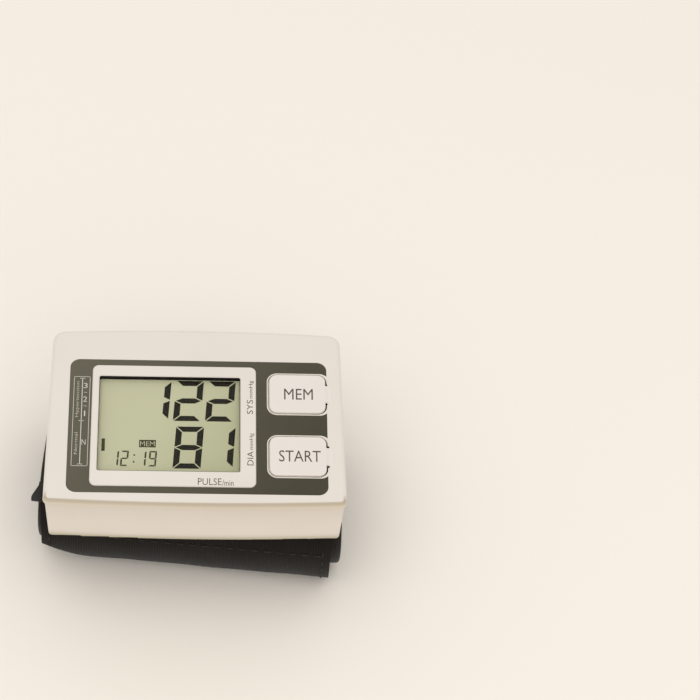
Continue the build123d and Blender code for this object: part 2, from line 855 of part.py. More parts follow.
with BuildPart() as motor_shaft:
    with BuildSketch(pump_plane(crank_x)):
        Circle(shaft_r)
    extrude(amount=motor_end_x - crank_x + motor_cap_thick / 2)
motor_shaft.part.label = "motor_shaft"


def motor_section(inset):
    """Round motor section with two flats, drawn inset."""
    Circle(motor_width / 2 - inset)
    Rectangle(motor_width, motor_height - 2 * inset, mode=Mode.INTERSECT)


with BuildPart() as motor_can:
    with BuildSketch(pump_plane(pump_end_x)):
        motor_section(0)
    extrude(amount=motor_length)
    with BuildSketch(pump_plane(pump_end_x + motor_wall)):
        motor_section(motor_wall)
    extrude(amount=motor_length, mode=Mode.SUBTRACT)
    with BuildSketch(pump_plane(pump_end_x)):
        Circle(shaft_r + shaft_clearance)
    extrude(amount=motor_wall, mode=Mode.SUBTRACT)
motor_can.part.label = "motor_can"

with BuildPart() as motor_cap:
    with BuildSketch(pump_plane(motor_end_x)):
        motor_section(0)
        Circle(shaft_r + shaft_clearance, mode=Mode.SUBTRACT)
    extrude(amount=motor_cap_thick)
motor_cap.part.label = "motor_cap"

with BuildPart() as motor_rotor:
    with BuildSketch(pump_plane(pump_end_x + (motor_length - rotor_length) / 2)):
        Circle(rotor_r)
        Circle(shaft_r, mode=Mode.SUBTRACT)
    extrude(amount=rotor_length)
motor_rotor.part.label = "motor_rotor"

with BuildPart() as pump_cradle:
    with BuildSketch(Plane.XY.offset(floor_top)):
        with Locations(((pump_x + motor_end_x) / 2, pump_mid_y)):
            Rectangle(motor_end_x - pump_x, pump_width - 2 * cradle_side)
    extrude(amount=pump_pad)
    with BuildSketch(Plane.XY.offset(floor_top)):
        with Locations(((pump_end_x + motor_end_x) / 2, pump_mid_y)):
            with GridLocations(0, motor_width + 2 * layer_gap + cradle_wall, 1, 2):
                Rectangle(motor_length - 2 * cradle_end, cradle_wall)
    extrude(amount=cradle_height)
pump_cradle.part.label = "pump_cradle"

with BuildPart() as motor_leads:
    first_lead_y = pump_mid_y + motor_lead_start
    for lead_y in (first_lead_y, first_lead_y + motor_lead_pitch):
        with BuildLine() as lead_path:
            FilletPolyline(
                (cap_end_x, lead_y, pump_z),
                (cap_end_x + motor_lead_reach, lead_y, pump_z),
                (cap_end_x + motor_lead_reach, lead_y, board_under),
                radius=lead_bend_r,
            )
        with BuildSketch(upright_plane(cap_end_x, lead_y, pump_z, 1)):
            Circle(lead_r)
        sweep(path=lead_path.line)
motor_leads.part.label = "motor_leads"

# ---- Exhaust valve ----
valve_x = panel_x + valve_left
valve_mid_y = panel_y + valve_y
valve_line = panel_y + valve_line_y
valve_bottom = floor_top + layer_gap
valve_end_x = valve_x + valve_length
valve_bore_start = valve_x + valve_wall
valve_bore_length = valve_length - 2 * valve_wall
valve_bore_z = valve_bottom + valve_height / 2 + valve_bore_rise

with BuildPart() as exhaust_valve:
    with BuildSketch(Plane.XY.offset(valve_bottom)):
        with Locations((valve_x + valve_length / 2, valve_mid_y)):
            Rectangle(valve_length, valve_width)
    extrude(amount=valve_height)
    with BuildSketch(upright_plane(valve_bore_start, valve_mid_y, valve_bore_z, 1)):
        Circle(valve_bore_r)
    extrude(amount=valve_bore_length, mode=Mode.SUBTRACT)
    with BuildSketch(upright_plane(valve_end_x, valve_line, air_z, 1)):
        Circle(nozzle_r)
    extrude(amount=nozzle_length)
    with BuildSketch(upright_plane(valve_end_x + nozzle_length, valve_line, air_z, 1)):
        Circle(nozzle_bore_r)
    extrude(amount=-(nozzle_length + nozzle_depth), mode=Mode.SUBTRACT)
exhaust_valve.part.label = "exhaust_valve"

with BuildPart() as valve_plunger:
    with BuildSketch(upright_plane(valve_bore_start + cell_seat, valve_mid_y, valve_bore_z, 1)):
        Circle(valve_plunger_r)
    extrude(amount=valve_plunger_length)
valve_plunger.part.label = "valve_plunger"

# ---- Pressure sensor under the board, its nozzle pointing down ----
sensor_place = plan(sensor_x, air_y)
sensor_under = board_under - sensor_height

with BuildPart() as pressure_sensor:
    with BuildSketch(Plane.XY.offset(board_under)):
        with Locations(sensor_place):
            Rectangle(sensor_size, sensor_size)
    extrude(amount=-sensor_height)
    with BuildSketch(Plane.XY.offset(sensor_under)):
        with Locations(sensor_place):
            Circle(nozzle_r)
    extrude(amount=-sensor_nozzle)
    with BuildSketch(Plane.XY.offset(sensor_under - sensor_nozzle)):
        with Locations(sensor_place):
            Circle(nozzle_bore_r)
    extrude(amount=sensor_nozzle + nozzle_depth, mode=Mode.SUBTRACT)
pressure_sensor.part.label = "pressure_sensor"

# ---- Air manifold: pump to the right, sensor to the left, valve in front, cuff below ----
half = manifold_size / 2
manifold_x, manifold_y = air_place

with BuildPart() as air_manifold:
    with Locations((manifold_x, manifold_y, air_z)):
        Box(manifold_size, manifold_size, manifold_size)
    for facing in (-1, 1):
        with BuildSketch(upright_plane(manifold_x + facing * half, manifold_y, air_z, facing)):
            Circle(nozzle_r)
        extrude(amount=nozzle_length)
    with BuildSketch(Plane(origin=(manifold_x, manifold_y - half, air_z), z_dir=(0, -1, 0))):
        Circle(nozzle_r)
    extrude(amount=nozzle_length)
    with BuildSketch(upright_plane(manifold_x - half - nozzle_length, manifold_y, air_z, 1)):
        Circle(nozzle_bore_r)
    extrude(amount=manifold_size + 2 * nozzle_length, mode=Mode.SUBTRACT)
    with BuildSketch(
        Plane(origin=(manifold_x, manifold_y - half - nozzle_length, air_z), z_dir=(0, 1, 0))
    ):
        Circle(nozzle_bore_r)
    extrude(amount=half + nozzle_length, mode=Mode.SUBTRACT)
    with BuildSketch(Plane.XY.offset(air_z - half)):
        with Locations(air_place):
            Circle(tube_r)
    extrude(amount=port_depth, mode=Mode.SUBTRACT)
    with BuildSketch(Plane.XY.offset(air_z - half)):
        with Locations(air_place):
            Circle(nozzle_bore_r)
    extrude(amount=half, mode=Mode.SUBTRACT)
air_manifold.part.label = "air_manifold"

# ---- Silicone tubes, each pushed over two nozzles ----
with BuildPart() as pump_tube:
    with BuildLine() as pump_path:
        FilletPolyline(
            (pump_nozzle_at_x, pump_back_y + tube_seat, air_z),
            (pump_nozzle_at_x, manifold_y, air_z),
            (manifold_x + half + tube_seat, manifold_y, air_z),
            radius=tube_bend_r,
        )
    with BuildSketch(Plane(origin=(pump_nozzle_at_x, pump_back_y + tube_seat, air_z), z_dir=(0, 1, 0))):
        Circle(tube_r)
        Circle(nozzle_r, mode=Mode.SUBTRACT)
    sweep(path=pump_path.line)
pump_tube.part.label = "pump_tube"

with BuildPart() as valve_tube:
    with BuildLine() as valve_path:
        FilletPolyline(
            (valve_end_x + tube_seat, valve_line, air_z),
            (manifold_x, valve_line, air_z),
            (manifold_x, manifold_y - half - tube_seat, air_z),
            radius=tube_bend_r,
        )
    with BuildSketch(upright_plane(valve_end_x + tube_seat, valve_line, air_z, 1)):
        Circle(tube_r)
        Circle(nozzle_r, mode=Mode.SUBTRACT)
    sweep(path=valve_path.line)
valve_tube.part.label = "valve_tube"

with BuildPart() as sensor_tube:
    with BuildLine() as sensor_path:
        FilletPolyline(
            (sensor_place[0], sensor_place[1], sensor_under - tube_seat),
            (sensor_place[0], sensor_place[1], air_z),
            (manifold_x - half - tube_seat, manifold_y, air_z),
            radius=tube_bend_r,
        )
    with BuildSketch(Plane.XY.offset(sensor_under - tube_seat)):
        with Locations(sensor_place):
            Circle(tube_r)
            Circle(nozzle_r, mode=Mode.SUBTRACT)
    sweep(path=sensor_path.line)
sensor_tube.part.label = "sensor_tube"

# ---- Screws ----
with BuildPart() as case_screws:
    with BuildSketch(Plane.XY.offset(case_bottom)):
        with Locations(*case_screws_at):
            Circle(screw_head_r)
    extrude(amount=screw_head_height)
    with BuildSketch(Plane.XY.offset(case_bottom + screw_head_height)):
        with Locations(*case_screws_at):
            Circle(screw_r)
    extrude(amount=screw_reach)
    with BuildSketch(Plane.XY.offset(case_bottom)):
        with Locations(*case_screws_at):
            Rectangle(screw_slot_length, screw_slot_width)
            Rectangle(screw_slot_width, screw_slot_length)
    extrude(amount=screw_head_height / 2, mode=Mode.SUBTRACT)
case_screws.part.label = "case_screws"

with BuildPart() as board_screws:
    with BuildSketch(Plane.XY.offset(board_under)):
        with Locations(*board_posts_at):
            Circle(screw_head_r)
    extrude(amount=-screw_head_height)
    with BuildSketch(Plane.XY.offset(board_under)):
        with Locations(*board_posts_at):
            Circle(screw_r)
    extrude(amount=board_thick + board_screw_grip)
board_screws.part.label = "board_screws"

# ---- Saddle that clamps the cuff under the case ----
saddle_under = cuff_height + layer_gap
saddle_middle = (0, (saddle_front + saddle_rear) / 2)

with BuildPart() as cuff_saddle:
    with BuildSketch(cuff_level(saddle_under)):
        with Locations(saddle_middle):
            RectangleRounded(saddle_width, saddle_rear - saddle_front, saddle_corner_r)
        with Locations(*saddle_screws_at):
            Circle(screw_r + hole_clearance, mode=Mode.SUBTRACT)
    extrude(amount=saddle_thick)
    with BuildSketch(Plane.XY.offset(saddle_under)):
        with Locations(air_place):
            Circle(tube_r + port_clearance)
    extrude(amount=saddle_thick, mode=Mode.SUBTRACT)
cuff_saddle.part.label = "cuff_saddle"

# ---- Cuff: fabric, spring shell, bladder and lining rolled into one flattened loop ----
shell_drop = fabric_thick + layer_gap
lining_drop = bladder_drop + bladder_thick + layer_gap
cuff_wall = lining_drop + lining_thick
bend_r = cuff_height / 2
bend_centre = -(cuff_reach / 2 - bend_r)
layer_length = cuff_width - 2 * binding_width
far_reach = cuff_reach


def cuff_ring(drop, thick):
    """Closed section of one layer, drop inside the cuff's outer face."""
    SlotOverall(cuff_reach - 2 * drop, cuff_height - 2 * drop)
    SlotOverall(cuff_reach - 2 * (drop + thick), cuff_height - 2 * (drop + thick), mode=Mode.SUBTRACT)


def bend_point(angle, radius):
    """Point of the section about the front bend's centre, angle measured from the top."""
    return (bend_centre - radius * sin(radians(angle)), radius * cos(radians(angle)))


def bend_wedge(first, last, mode):
    """Wedge of the front bend between two angles, to add or cut."""
    middles = [first + (last - first) * step / 3 for step in range(4)]
    outer = [bend_point(angle, far_reach) for angle in middles]
    Polygon((bend_centre, 0), *outer, align=None, mode=mode)


def end_strip(first, last, mode=Mode.ADD):
    """Plan strip between two distances inside the cuff's oblique right end."""
    trim = radians(cuff_end_trim)
    ends = []
    for reach, cross in ((first, -far_reach), (first, far_reach), (last, far_reach), (last, -far_reach)):
        edge = cuff_width / 2 - reach / cos(trim) - (cross + cuff_reach / 2) * tan(trim)
        ends.append((edge, cross))
    Polygon(*ends, align=None, mode=mode)


with BuildPart() as cuff_cover:
    with BuildSketch(cuff_plane(-layer_length / 2)):
        cuff_ring(0, fabric_thick)
        bend_wedge(ring_rear_angle, strap_seam_angle, Mode.SUBTRACT)
    extrude(amount=layer_length)
    with BuildSketch(cuff_level(0)):
        end_strip(-far_reach, binding_width)
    extrude(amount=cuff_height, mode=Mode.SUBTRACT)
    # Sleeve that holds the rear bar of the ring.
    with BuildSketch(cuff_plane(strap_shift - sleeve_width / 2)):
        with Locations(bend_point(ring_rear_angle, bend_r + ring_rear_lift)):
            Circle(ring_wire_r + sleeve_clearance + sleeve_thick)
    extrude(amount=sleeve_width)
    with BuildSketch(cuff_plane(-cuff_width)):
        with Locations(bend_point(ring_rear_angle, bend_r + ring_rear_lift)):
            Circle(ring_wire_r + sleeve_clearance)
    extrude(amount=2 * cuff_width, mode=Mode.SUBTRACT)
    with BuildSketch(cuff_level(cuff_height)):
        with Locations(*saddle_screws_at):
            Circle(screw_r + hole_clearance)
    extrude(amount=-fabric_thick, mode=Mode.SUBTRACT)
    with BuildSketch(Plane.XY.offset(cuff_height)):
        with Locations(air_place):
            Circle(tube_r + port_clearance)
    extrude(amount=-shell_drop, mode=Mode.SUBTRACT)
cuff_cover.part.label = "cuff_cover"

with BuildPart() as closure_strap:
    with BuildSketch(cuff_plane(-layer_length / 2)):
        cuff_ring(0, fabric_thick)
        bend_wedge(strap_start_angle, strap_seam_angle, Mode.INTERSECT)
    extrude(amount=layer_length)
    with BuildSketch(cuff_level(0)):
        end_strip(-far_reach, binding_width)
    extrude(amount=cuff_height, mode=Mode.SUBTRACT)
closure_strap.part.label = "closure_strap"

with BuildPart() as spring_shell:
    with BuildSketch(cuff_plane(-layer_length / 2)):
        cuff_ring(shell_drop, shell_thick)
        bend_wedge(0, strap_seam_angle, Mode.SUBTRACT)
    extrude(amount=layer_length)
    with BuildSketch(cuff_level(0)):
        end_strip(-far_reach, binding_width)
    extrude(amount=cuff_height, mode=Mode.SUBTRACT)
    with BuildSketch(cuff_level(cuff_height - shell_drop)):
        with Locations(*saddle_screws_at):
            Circle(screw_r + hole_clearance)
    extrude(amount=-shell_thick, mode=Mode.SUBTRACT)
    with BuildSketch(Plane.XY.offset(cuff_height - shell_drop)):
        with Locations(air_place):
            Circle(tube_r + port_clearance)
    extrude(amount=-(bladder_drop - shell_drop), mode=Mode.SUBTRACT)
spring_shell.part.label = "spring_shell"

with BuildPart() as cuff_bladder:
    with BuildSketch(cuff_plane(-bladder_width / 2)):
        cuff_ring(bladder_drop, bladder_thick)
        bend_wedge(0, strap_seam_angle, Mode.SUBTRACT)
    extrude(amount=bladder_width)
cuff_bladder.part.label = "cuff_bladder"

with BuildPart() as cuff_lining:
    with BuildSketch(cuff_plane(-layer_length / 2)):
        cuff_ring(lining_drop, lining_thick)
        bend_wedge(ring_rear_angle, strap_start_angle, Mode.SUBTRACT)
    extrude(amount=layer_length)
    with BuildSketch(cuff_level(0)):
        end_strip(-far_reach, binding_width)
    extrude(amount=cuff_height, mode=Mode.SUBTRACT)
cuff_lining.part.label = "cuff_lining"

with BuildPart() as binding_left:
    with BuildSketch(cuff_plane(-cuff_width / 2)):
        cuff_ring(0, cuff_wall)
        bend_wedge(ring_rear_angle, strap_start_angle, Mode.SUBTRACT)
    extrude(amount=binding_width)
binding_left.part.label = "binding_left"

with BuildPart() as binding_right:
    with BuildSketch(cuff_plane(0)):
        cuff_ring(0, cuff_wall)
        bend_wedge(ring_rear_angle, strap_start_angle, Mode.SUBTRACT)
    extrude(amount=cuff_width)
    with BuildSketch(cuff_level(0)):
        end_strip(0, binding_width)
    extrude(amount=cuff_height, mode=Mode.INTERSECT)
binding_right.part.label = "binding_right"

shell_under = cuff_height - shell_drop - shell_thick

with BuildPart() as saddle_screws:
    with BuildSketch(cuff_level(shell_under)):
        with Locations(*saddle_screws_at):
            Circle(screw_head_r)
    extrude(amount=-screw_head_height)
    with BuildSketch(cuff_level(shell_under)):
        with Locations(*saddle_screws_at):
            Circle(screw_r)
    extrude(amount=case_bottom - shell_under + saddle_grip)
saddle_screws.part.label = "saddle_screws"

with BuildPart() as bladder_port:
    with BuildSketch(Plane.XY.offset(cuff_height - bladder_drop)):
        with Locations(air_place):
            Circle(flange_r)
    extrude(amount=flange_thick)
    with BuildSketch(Plane.XY.offset(cuff_height - bladder_drop)):
        with Locations(air_place):
            Circle(tube_r)
    extrude(amount=air_z - half + port_depth - cuff_height + bladder_drop)
    with BuildSketch(Plane.XY.offset(cuff_height - bladder_drop)):
        with Locations(air_place):
            Circle(port_bore_r)
    extrude(amount=air_z - half + port_depth - cuff_height + bladder_drop, mode=Mode.SUBTRACT)
bladder_port.part.label = "bladder_port"

# ---- D-ring, the strap folded round it, and the tail that peels open ----
rear_bar = bend_point(ring_rear_angle, bend_r + ring_rear_lift)
front_bar = bend_point(ring_front_angle, bend_r + ring_front_lift)
section = cuff_plane(0)
rear_bar_at = section.from_local_coords((rear_bar[0], rear_bar[1], 0))
front_bar_at = section.from_local_coords((front_bar[0], front_bar[1], 0))
ring_side = (front_bar_at - rear_bar_at).normalized()
ring_plane = Plane(origin=rear_bar_at, x_dir=along, z_dir=along.cross(ring_side))
ring_reach = (front_bar_at - rear_bar_at).length

with BuildPart() as d_ring:
    for side in (-1, 1):
        with BuildLine(ring_plane) as ring_path:
            FilletPolyline(
                (ring_shift, 0),
                (ring_shift + side * ring_half_length, 0),
                (ring_shift + side * ring_half_length, ring_reach),
                (ring_shift, ring_reach),
                radius=(ring_rear_corner_r, ring_front_corner_r),
            )
        with BuildSketch(Plane(origin=rear_bar_at + along * ring_shift, z_dir=along * side)):
            Circle(ring_wire_r)
        sweep(path=ring_path.line)
d_ring.part.label = "d_ring"

strap_left = strap_shift - strap_width / 2
hook_left = strap_left + hook_margin
strap_inner_r = bend_r + strap_gap
strap_outer_r = strap_inner_r + strap_thick


def strap_layer(inner, outer):
    """Closed section of a layer outside the cuff, between two distances from the bend."""
    SlotOverall(cuff_reach + 2 * (outer - bend_r), 2 * outer)
    SlotOverall(cuff_reach + 2 * (inner - bend_r), 2 * inner, mode=Mode.SUBTRACT)


with BuildPart() as strap_fold:
    with BuildSketch(cuff_plane(strap_left)):
        strap_layer(strap_inner_r, strap_outer_r)
        bend_wedge(ring_front_angle, strap_hinge_angle - strap_hinge_gap, Mode.INTERSECT)
        with Locations(front_bar):
            Circle(ring_wire_r + fold_clearance + fold_thick)
            Circle(ring_wire_r + fold_clearance, mode=Mode.SUBTRACT)
    extrude(amount=strap_width)
strap_fold.part.label = "strap_fold"

tail_end_level = strap_table_gap - cuff_height / 2


def front_plane(distance):
    """Upright plane along the cuff, facing the wearer, from a distance along its axis."""
    return Plane(origin=cuff_centre + along * distance, x_dir=along, z_dir=-back)


with BuildPart() as strap_tail:
    with BuildSketch(cuff_plane(strap_left)):
        strap_layer(strap_inner_r, strap_outer_r)
        bend_wedge(strap_hinge_angle + strap_hinge_gap, strap_end_angle, Mode.INTERSECT)
        with Locations((-far_reach, tail_end_level - far_reach / 2)):
            Rectangle(2 * far_reach, far_reach, mode=Mode.SUBTRACT)
    extrude(amount=strap_width)
    with BuildSketch(front_plane(strap_left)):
        Polygon((0, tail_clip_height), (0, 0), (tail_clip_width, 0), align=None)
    extrude(amount=far_reach, mode=Mode.SUBTRACT)
strap_tail.part.label = "strap_tail"

with BuildPart() as hook_patch:
    with BuildSketch(cuff_plane(hook_left)):
        strap_layer(strap_inner_r - hook_thick, strap_inner_r)
        bend_wedge(strap_hinge_angle + hook_start, hook_end_angle, Mode.INTERSECT)
    extrude(amount=strap_width - 2 * hook_margin)
    with BuildSketch(front_plane(strap_left)):
        Polygon(
            (0, tail_clip_height + hook_margin),
            (0, 0),
            (tail_clip_width + hook_margin, 0),
            align=None,
        )
    extrude(amount=far_reach, mode=Mode.SUBTRACT)
hook_patch.part.label = "hook_patch"

os.makedirs("parts", exist_ok=True)
export_step(upper_case.part, "parts/upper_case.step")
export_step(battery_door.part, "parts/battery_door.step")
export_step(lower_case.part, "parts/lower_case.step")
export_step(display_panel.part, "parts/display_panel.step")
export_step(display_frame.part, "parts/display_frame.step")
export_step(display_lens.part, "parts/display_lens.step")
export_step(lcd_glass.part, "parts/lcd_glass.step")
export_step(lcd_tray.part, "parts/lcd_tray.step")
export_step(contact_strip.part, "parts/contact_strip.step")
export_step(main_board.part, "parts/main_board.step")
export_step(processor_chip.part, "parts/processor_chip.step")
export_step(board_components.part, "parts/board_components.step")
export_step(buzzer.part, "parts/buzzer.step")
export_step(mem_key.part, "parts/mem_key.step")
export_step(start_key.part, "parts/start_key.step")
export_step(mem_switch.part, "parts/mem_switch.step")
export_step(mem_plunger.part, "parts/mem_plunger.step")
export_step(start_switch.part, "parts/start_switch.step")
export_step(start_plunger.part, "parts/start_plunger.step")
export_step(battery_cell_1.part, "parts/battery_cell_1.step")
export_step(battery_cell_2.part, "parts/battery_cell_2.step")
export_step(link_contact.part, "parts/link_contact.step")
export_step(positive_contact.part, "parts/positive_contact.step")
export_step(negative_contact.part, "parts/negative_contact.step")
export_step(battery_leads.part, "parts/battery_leads.step")
export_step(pump_head.part, "parts/pump_head.step")
export_step(pump_diaphragm.part, "parts/pump_diaphragm.step")
export_step(pump_crank.part, "parts/pump_crank.step")
export_step(motor_shaft.part, "parts/motor_shaft.step")
export_step(motor_can.part, "parts/motor_can.step")
export_step(motor_cap.part, "parts/motor_cap.step")
export_step(motor_rotor.part, "parts/motor_rotor.step")
export_step(pump_cradle.part, "parts/pump_cradle.step")
export_step(motor_leads.part, "parts/motor_leads.step")
export_step(exhaust_valve.part, "parts/exhaust_valve.step")
export_step(valve_plunger.part, "parts/valve_plunger.step")
export_step(pressure_sensor.part, "parts/pressure_sensor.step")
export_step(air_manifold.part, "parts/air_manifold.step")
export_step(pump_tube.part, "parts/pump_tube.step")
export_step(valve_tube.part, "parts/valve_tube.step")
export_step(sensor_tube.part, "parts/sensor_tube.step")
export_step(case_screws.part, "parts/case_screws.step")
export_step(board_screws.part, "parts/board_screws.step")
export_step(cuff_saddle.part, "parts/cuff_saddle.step")
export_step(cuff_cover.part, "parts/cuff_cover.step")
export_step(closure_strap.part, "parts/closure_strap.step")
export_step(spring_shell.part, "parts/spring_shell.step")
export_step(cuff_bladder.part, "parts/cuff_bladder.step")
export_step(cuff_lining.part, "parts/cuff_lining.step")
export_step(binding_left.part, "parts/binding_left.step")
export_step(binding_right.part, "parts/binding_right.step")
export_step(saddle_screws.part, "parts/saddle_screws.step")
export_step(bladder_port.part, "parts/bladder_port.step")
export_step(d_ring.part, "parts/d_ring.step")
export_step(strap_fold.part, "parts/strap_fold.step")
export_step(strap_tail.part, "parts/strap_tail.step")
export_step(hook_patch.part, "parts/hook_patch.step")
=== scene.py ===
# %% [markdown]
# # A wrist blood pressure monitor, dressed in Blender
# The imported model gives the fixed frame: the case, the keys, the display and the working parts,
# each in its own named node and in metres. This lesson adds what the solids leave out: printed
# words, liquid crystal figures, sewn fabric and the finish of every surface.

from math import atan2, cos, degrees, pi, radians, sin

import bmesh
import bpy
from mathutils import Matrix, Vector


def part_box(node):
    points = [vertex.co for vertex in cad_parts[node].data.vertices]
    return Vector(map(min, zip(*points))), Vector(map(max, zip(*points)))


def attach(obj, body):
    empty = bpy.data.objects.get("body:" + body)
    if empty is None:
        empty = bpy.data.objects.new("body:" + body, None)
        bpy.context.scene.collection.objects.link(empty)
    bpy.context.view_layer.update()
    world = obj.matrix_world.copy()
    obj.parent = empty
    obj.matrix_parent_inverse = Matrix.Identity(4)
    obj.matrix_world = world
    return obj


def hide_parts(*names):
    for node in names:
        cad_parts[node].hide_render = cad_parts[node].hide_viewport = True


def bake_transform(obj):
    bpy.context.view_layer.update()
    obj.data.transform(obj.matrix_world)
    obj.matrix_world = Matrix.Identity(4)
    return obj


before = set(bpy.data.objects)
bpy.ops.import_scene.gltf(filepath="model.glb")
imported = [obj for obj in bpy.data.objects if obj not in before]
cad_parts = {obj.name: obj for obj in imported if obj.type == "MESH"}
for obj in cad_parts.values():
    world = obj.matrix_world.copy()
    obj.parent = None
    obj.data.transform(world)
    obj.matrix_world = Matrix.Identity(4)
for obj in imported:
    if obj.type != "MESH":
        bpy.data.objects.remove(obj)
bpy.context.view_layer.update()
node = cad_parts
MM = 0.001

# %% [markdown]
# ## Camera
# The camera stands in front of and above the monitor, turned a little, as someone who reads the
# display on a table would. A long lens keeps the edges of the case nearly parallel. Its place is
# worked out from three angles and three distances, so each can be changed by itself.

# %% Camera
elevation, azimuth, roll = radians(54.075), radians(5.755), radians(5.625)
distance, shift_right, shift_up = 748.994, 38.009, 19.090
focal_px, picture_px, sensor_mm = 2993.705, 700, 36
aim = Vector((0.5, -3.2, 47.3))
look = Vector((sin(azimuth) * cos(elevation), cos(azimuth) * cos(elevation), -sin(elevation)))
side = Vector((cos(azimuth), -sin(azimuth), 0))
upward = side.cross(look)
right = side * cos(roll) + upward * sin(roll)
top = upward * cos(roll) - side * sin(roll)
eye = aim - look * distance + right * shift_right + top * shift_up
camera = bpy.data.objects.new("camera", bpy.data.cameras.new("camera"))
bpy.context.scene.collection.objects.link(camera)
turn = Matrix((right, top, -look)).transposed().to_4x4()
camera.matrix_world = Matrix.Translation(eye * MM) @ turn
camera.data.sensor_width = sensor_mm
camera.data.lens = focal_px * sensor_mm / picture_px
camera.data.clip_start = 0.01
bpy.context.scene.camera = camera
print("camera at", [round(v) for v in eye], "mm, lens", round(camera.data.lens, 1))

# %% [markdown]
# ## Small helpers for materials
# Colours are written as sRGB hex values, as a colour picker shows them, and turned to the linear
# values that a shader adds up. One function makes any node, sets it and links its inputs. Nearly
# every real surface drifts in tone, has a fine relief and varies in gloss, so one more function
# dresses a material with all three, from patterns whose sizes are real ones in millimetres.


# %% Colour, node and surface helpers
def srgb(code):
    """Linear colour for a hex value such as e5dcd2."""
    channels = [int(code[i : i + 2], 16) / 255 for i in (0, 2, 4)]
    linear = [c / 12.92 if c <= 0.04045 else ((c + 0.055) / 1.055) ** 2.4 for c in channels]
    return (*linear, 1.0)


def add(owner, kind, settings=None, **inputs):
    """Add a node to a material or world: settings by property, values or sockets by input."""
    made = owner.node_tree.nodes.new(kind)
    for name, value in (settings or {}).items():
        setattr(made, name, value)
    for name, value in inputs.items():
        socket = made.inputs[int(name[1:]) if name[0] == "_" else name.replace("_", " ")]
        if isinstance(value, bpy.types.NodeSocket):
            owner.node_tree.links.new(value, socket)
        else:
            socket.default_value = value
    return made


def new_material(name, roughness, **inputs):
    """A material with one Principled shader, whose inputs are set by name."""
    made = bpy.data.materials.new(name)
    made.use_nodes = True
    for label, value in {"Roughness": roughness, **inputs}.items():
        made.node_tree.nodes["Principled BSDF"].inputs[label.replace("_", " ")].default_value = value
    return made


def feed(made, label, socket):
    """Link a socket to an input of a material's shader."""
    made.node_tree.links.new(socket, made.node_tree.nodes["Principled BSDF"].inputs[label])


def dress(made, first, second, pattern, span=(0.3, 0.7), bump=None, depth_mm=0.0, gloss=None, detail=3.0):
    """Give a surface a tone that a pattern takes from one hex value to another.

    A pattern is a socket, or a number: the size in mm of noise on Object coordinates. bump is the
    pattern of the relief. gloss holds two roughnesses that the first pattern moves between."""
    place = add(made, "ShaderNodeTexCoord").outputs["Object"]
    sockets = []
    for wanted in (pattern, bump):
        if isinstance(wanted, float):
            noise = add(made, "ShaderNodeTexNoise", Vector=place, Scale=1 / (wanted * MM), Detail=detail)
            wanted = noise.outputs["Fac"]
        sockets.append(wanted)
    ramp = add(made, "ShaderNodeValToRGB", Fac=sockets[0])
    for element, position, code in zip(ramp.color_ramp.elements, span, (first, second)):
        element.position, element.color = position, srgb(code)
    feed(made, "Base Color", ramp.outputs["Color"])
    if bump is not None:
        relief = add(made, "ShaderNodeBump", Height=sockets[1], Distance=depth_mm * MM)
        feed(made, "Normal", relief.outputs["Normal"])
    if gloss is not None:
        spread = add(made, "ShaderNodeMapRange", Value=sockets[0], To_Min=gloss[0], To_Max=gloss[1])
        feed(made, "Roughness", spread.outputs["Result"])
    return made


# %% [markdown]
# ## Moulded plastics
# The housing is injection-moulded ABS. Its mould was spark-eroded, which leaves a fine even grain
# that scatters the light, so the surface is soft rather than glossy. Handling polishes it in broad
# patches, which shows as a slow drift in roughness and the faintest drift in tone.

# %% Moulded plastic
HANDLED_MM = 26.0


def moulded(name, light, dark, roughness, grain_mm=0.35, grain_depth=0.012, specular=0.4):
    """Moulded plastic with spark-eroded grain and slow handling marks."""
    made = new_material(name, roughness, Specular_IOR_Level=specular)
    gloss = (roughness - 0.05, roughness + 0.07)
    return dress(made, dark, light, HANDLED_MM, (0.3, 0.7), grain_mm, grain_depth, gloss, 2.0)


def finish(material, *names):
    """Put one material on every slot of the named CAD nodes."""
    for name in names:
        mesh = node[name].data
        mesh.materials.clear()
        mesh.materials.append(material)
    print(material.name, "->", ", ".join(names))


# %% Case, frame and keys
housing_abs = moulded("abs_housing_warm_white", "e6dcd0", "e3d8cb", 0.42)
frame_abs = moulded("abs_window_frame_satin", "e7ddd0", "e2d7c9", 0.36, 0.3, 0.008)
key_abs = moulded("abs_keys_satin", "e9dfd5", "e5dbcf", 0.36, 0.3, 0.008)
finish(housing_abs, "upper_case", "lower_case", "battery_door")
finish(frame_abs, "display_frame")
finish(key_abs, "mem_key", "start_key")

# %% [markdown]
# ## Shade on the front wall
# The top of the case ends in a brow with a tight round edge. Light falls off quickly over that
# edge, and again at the wall's foot, beside the black cuff. Broad lamps wash both out, and harder
# ones would darken the whole front, so the tone of the front faces is multiplied by a ramp over
# their height. A mask by depth keeps it off the top and the sides. Both read Object coordinates.

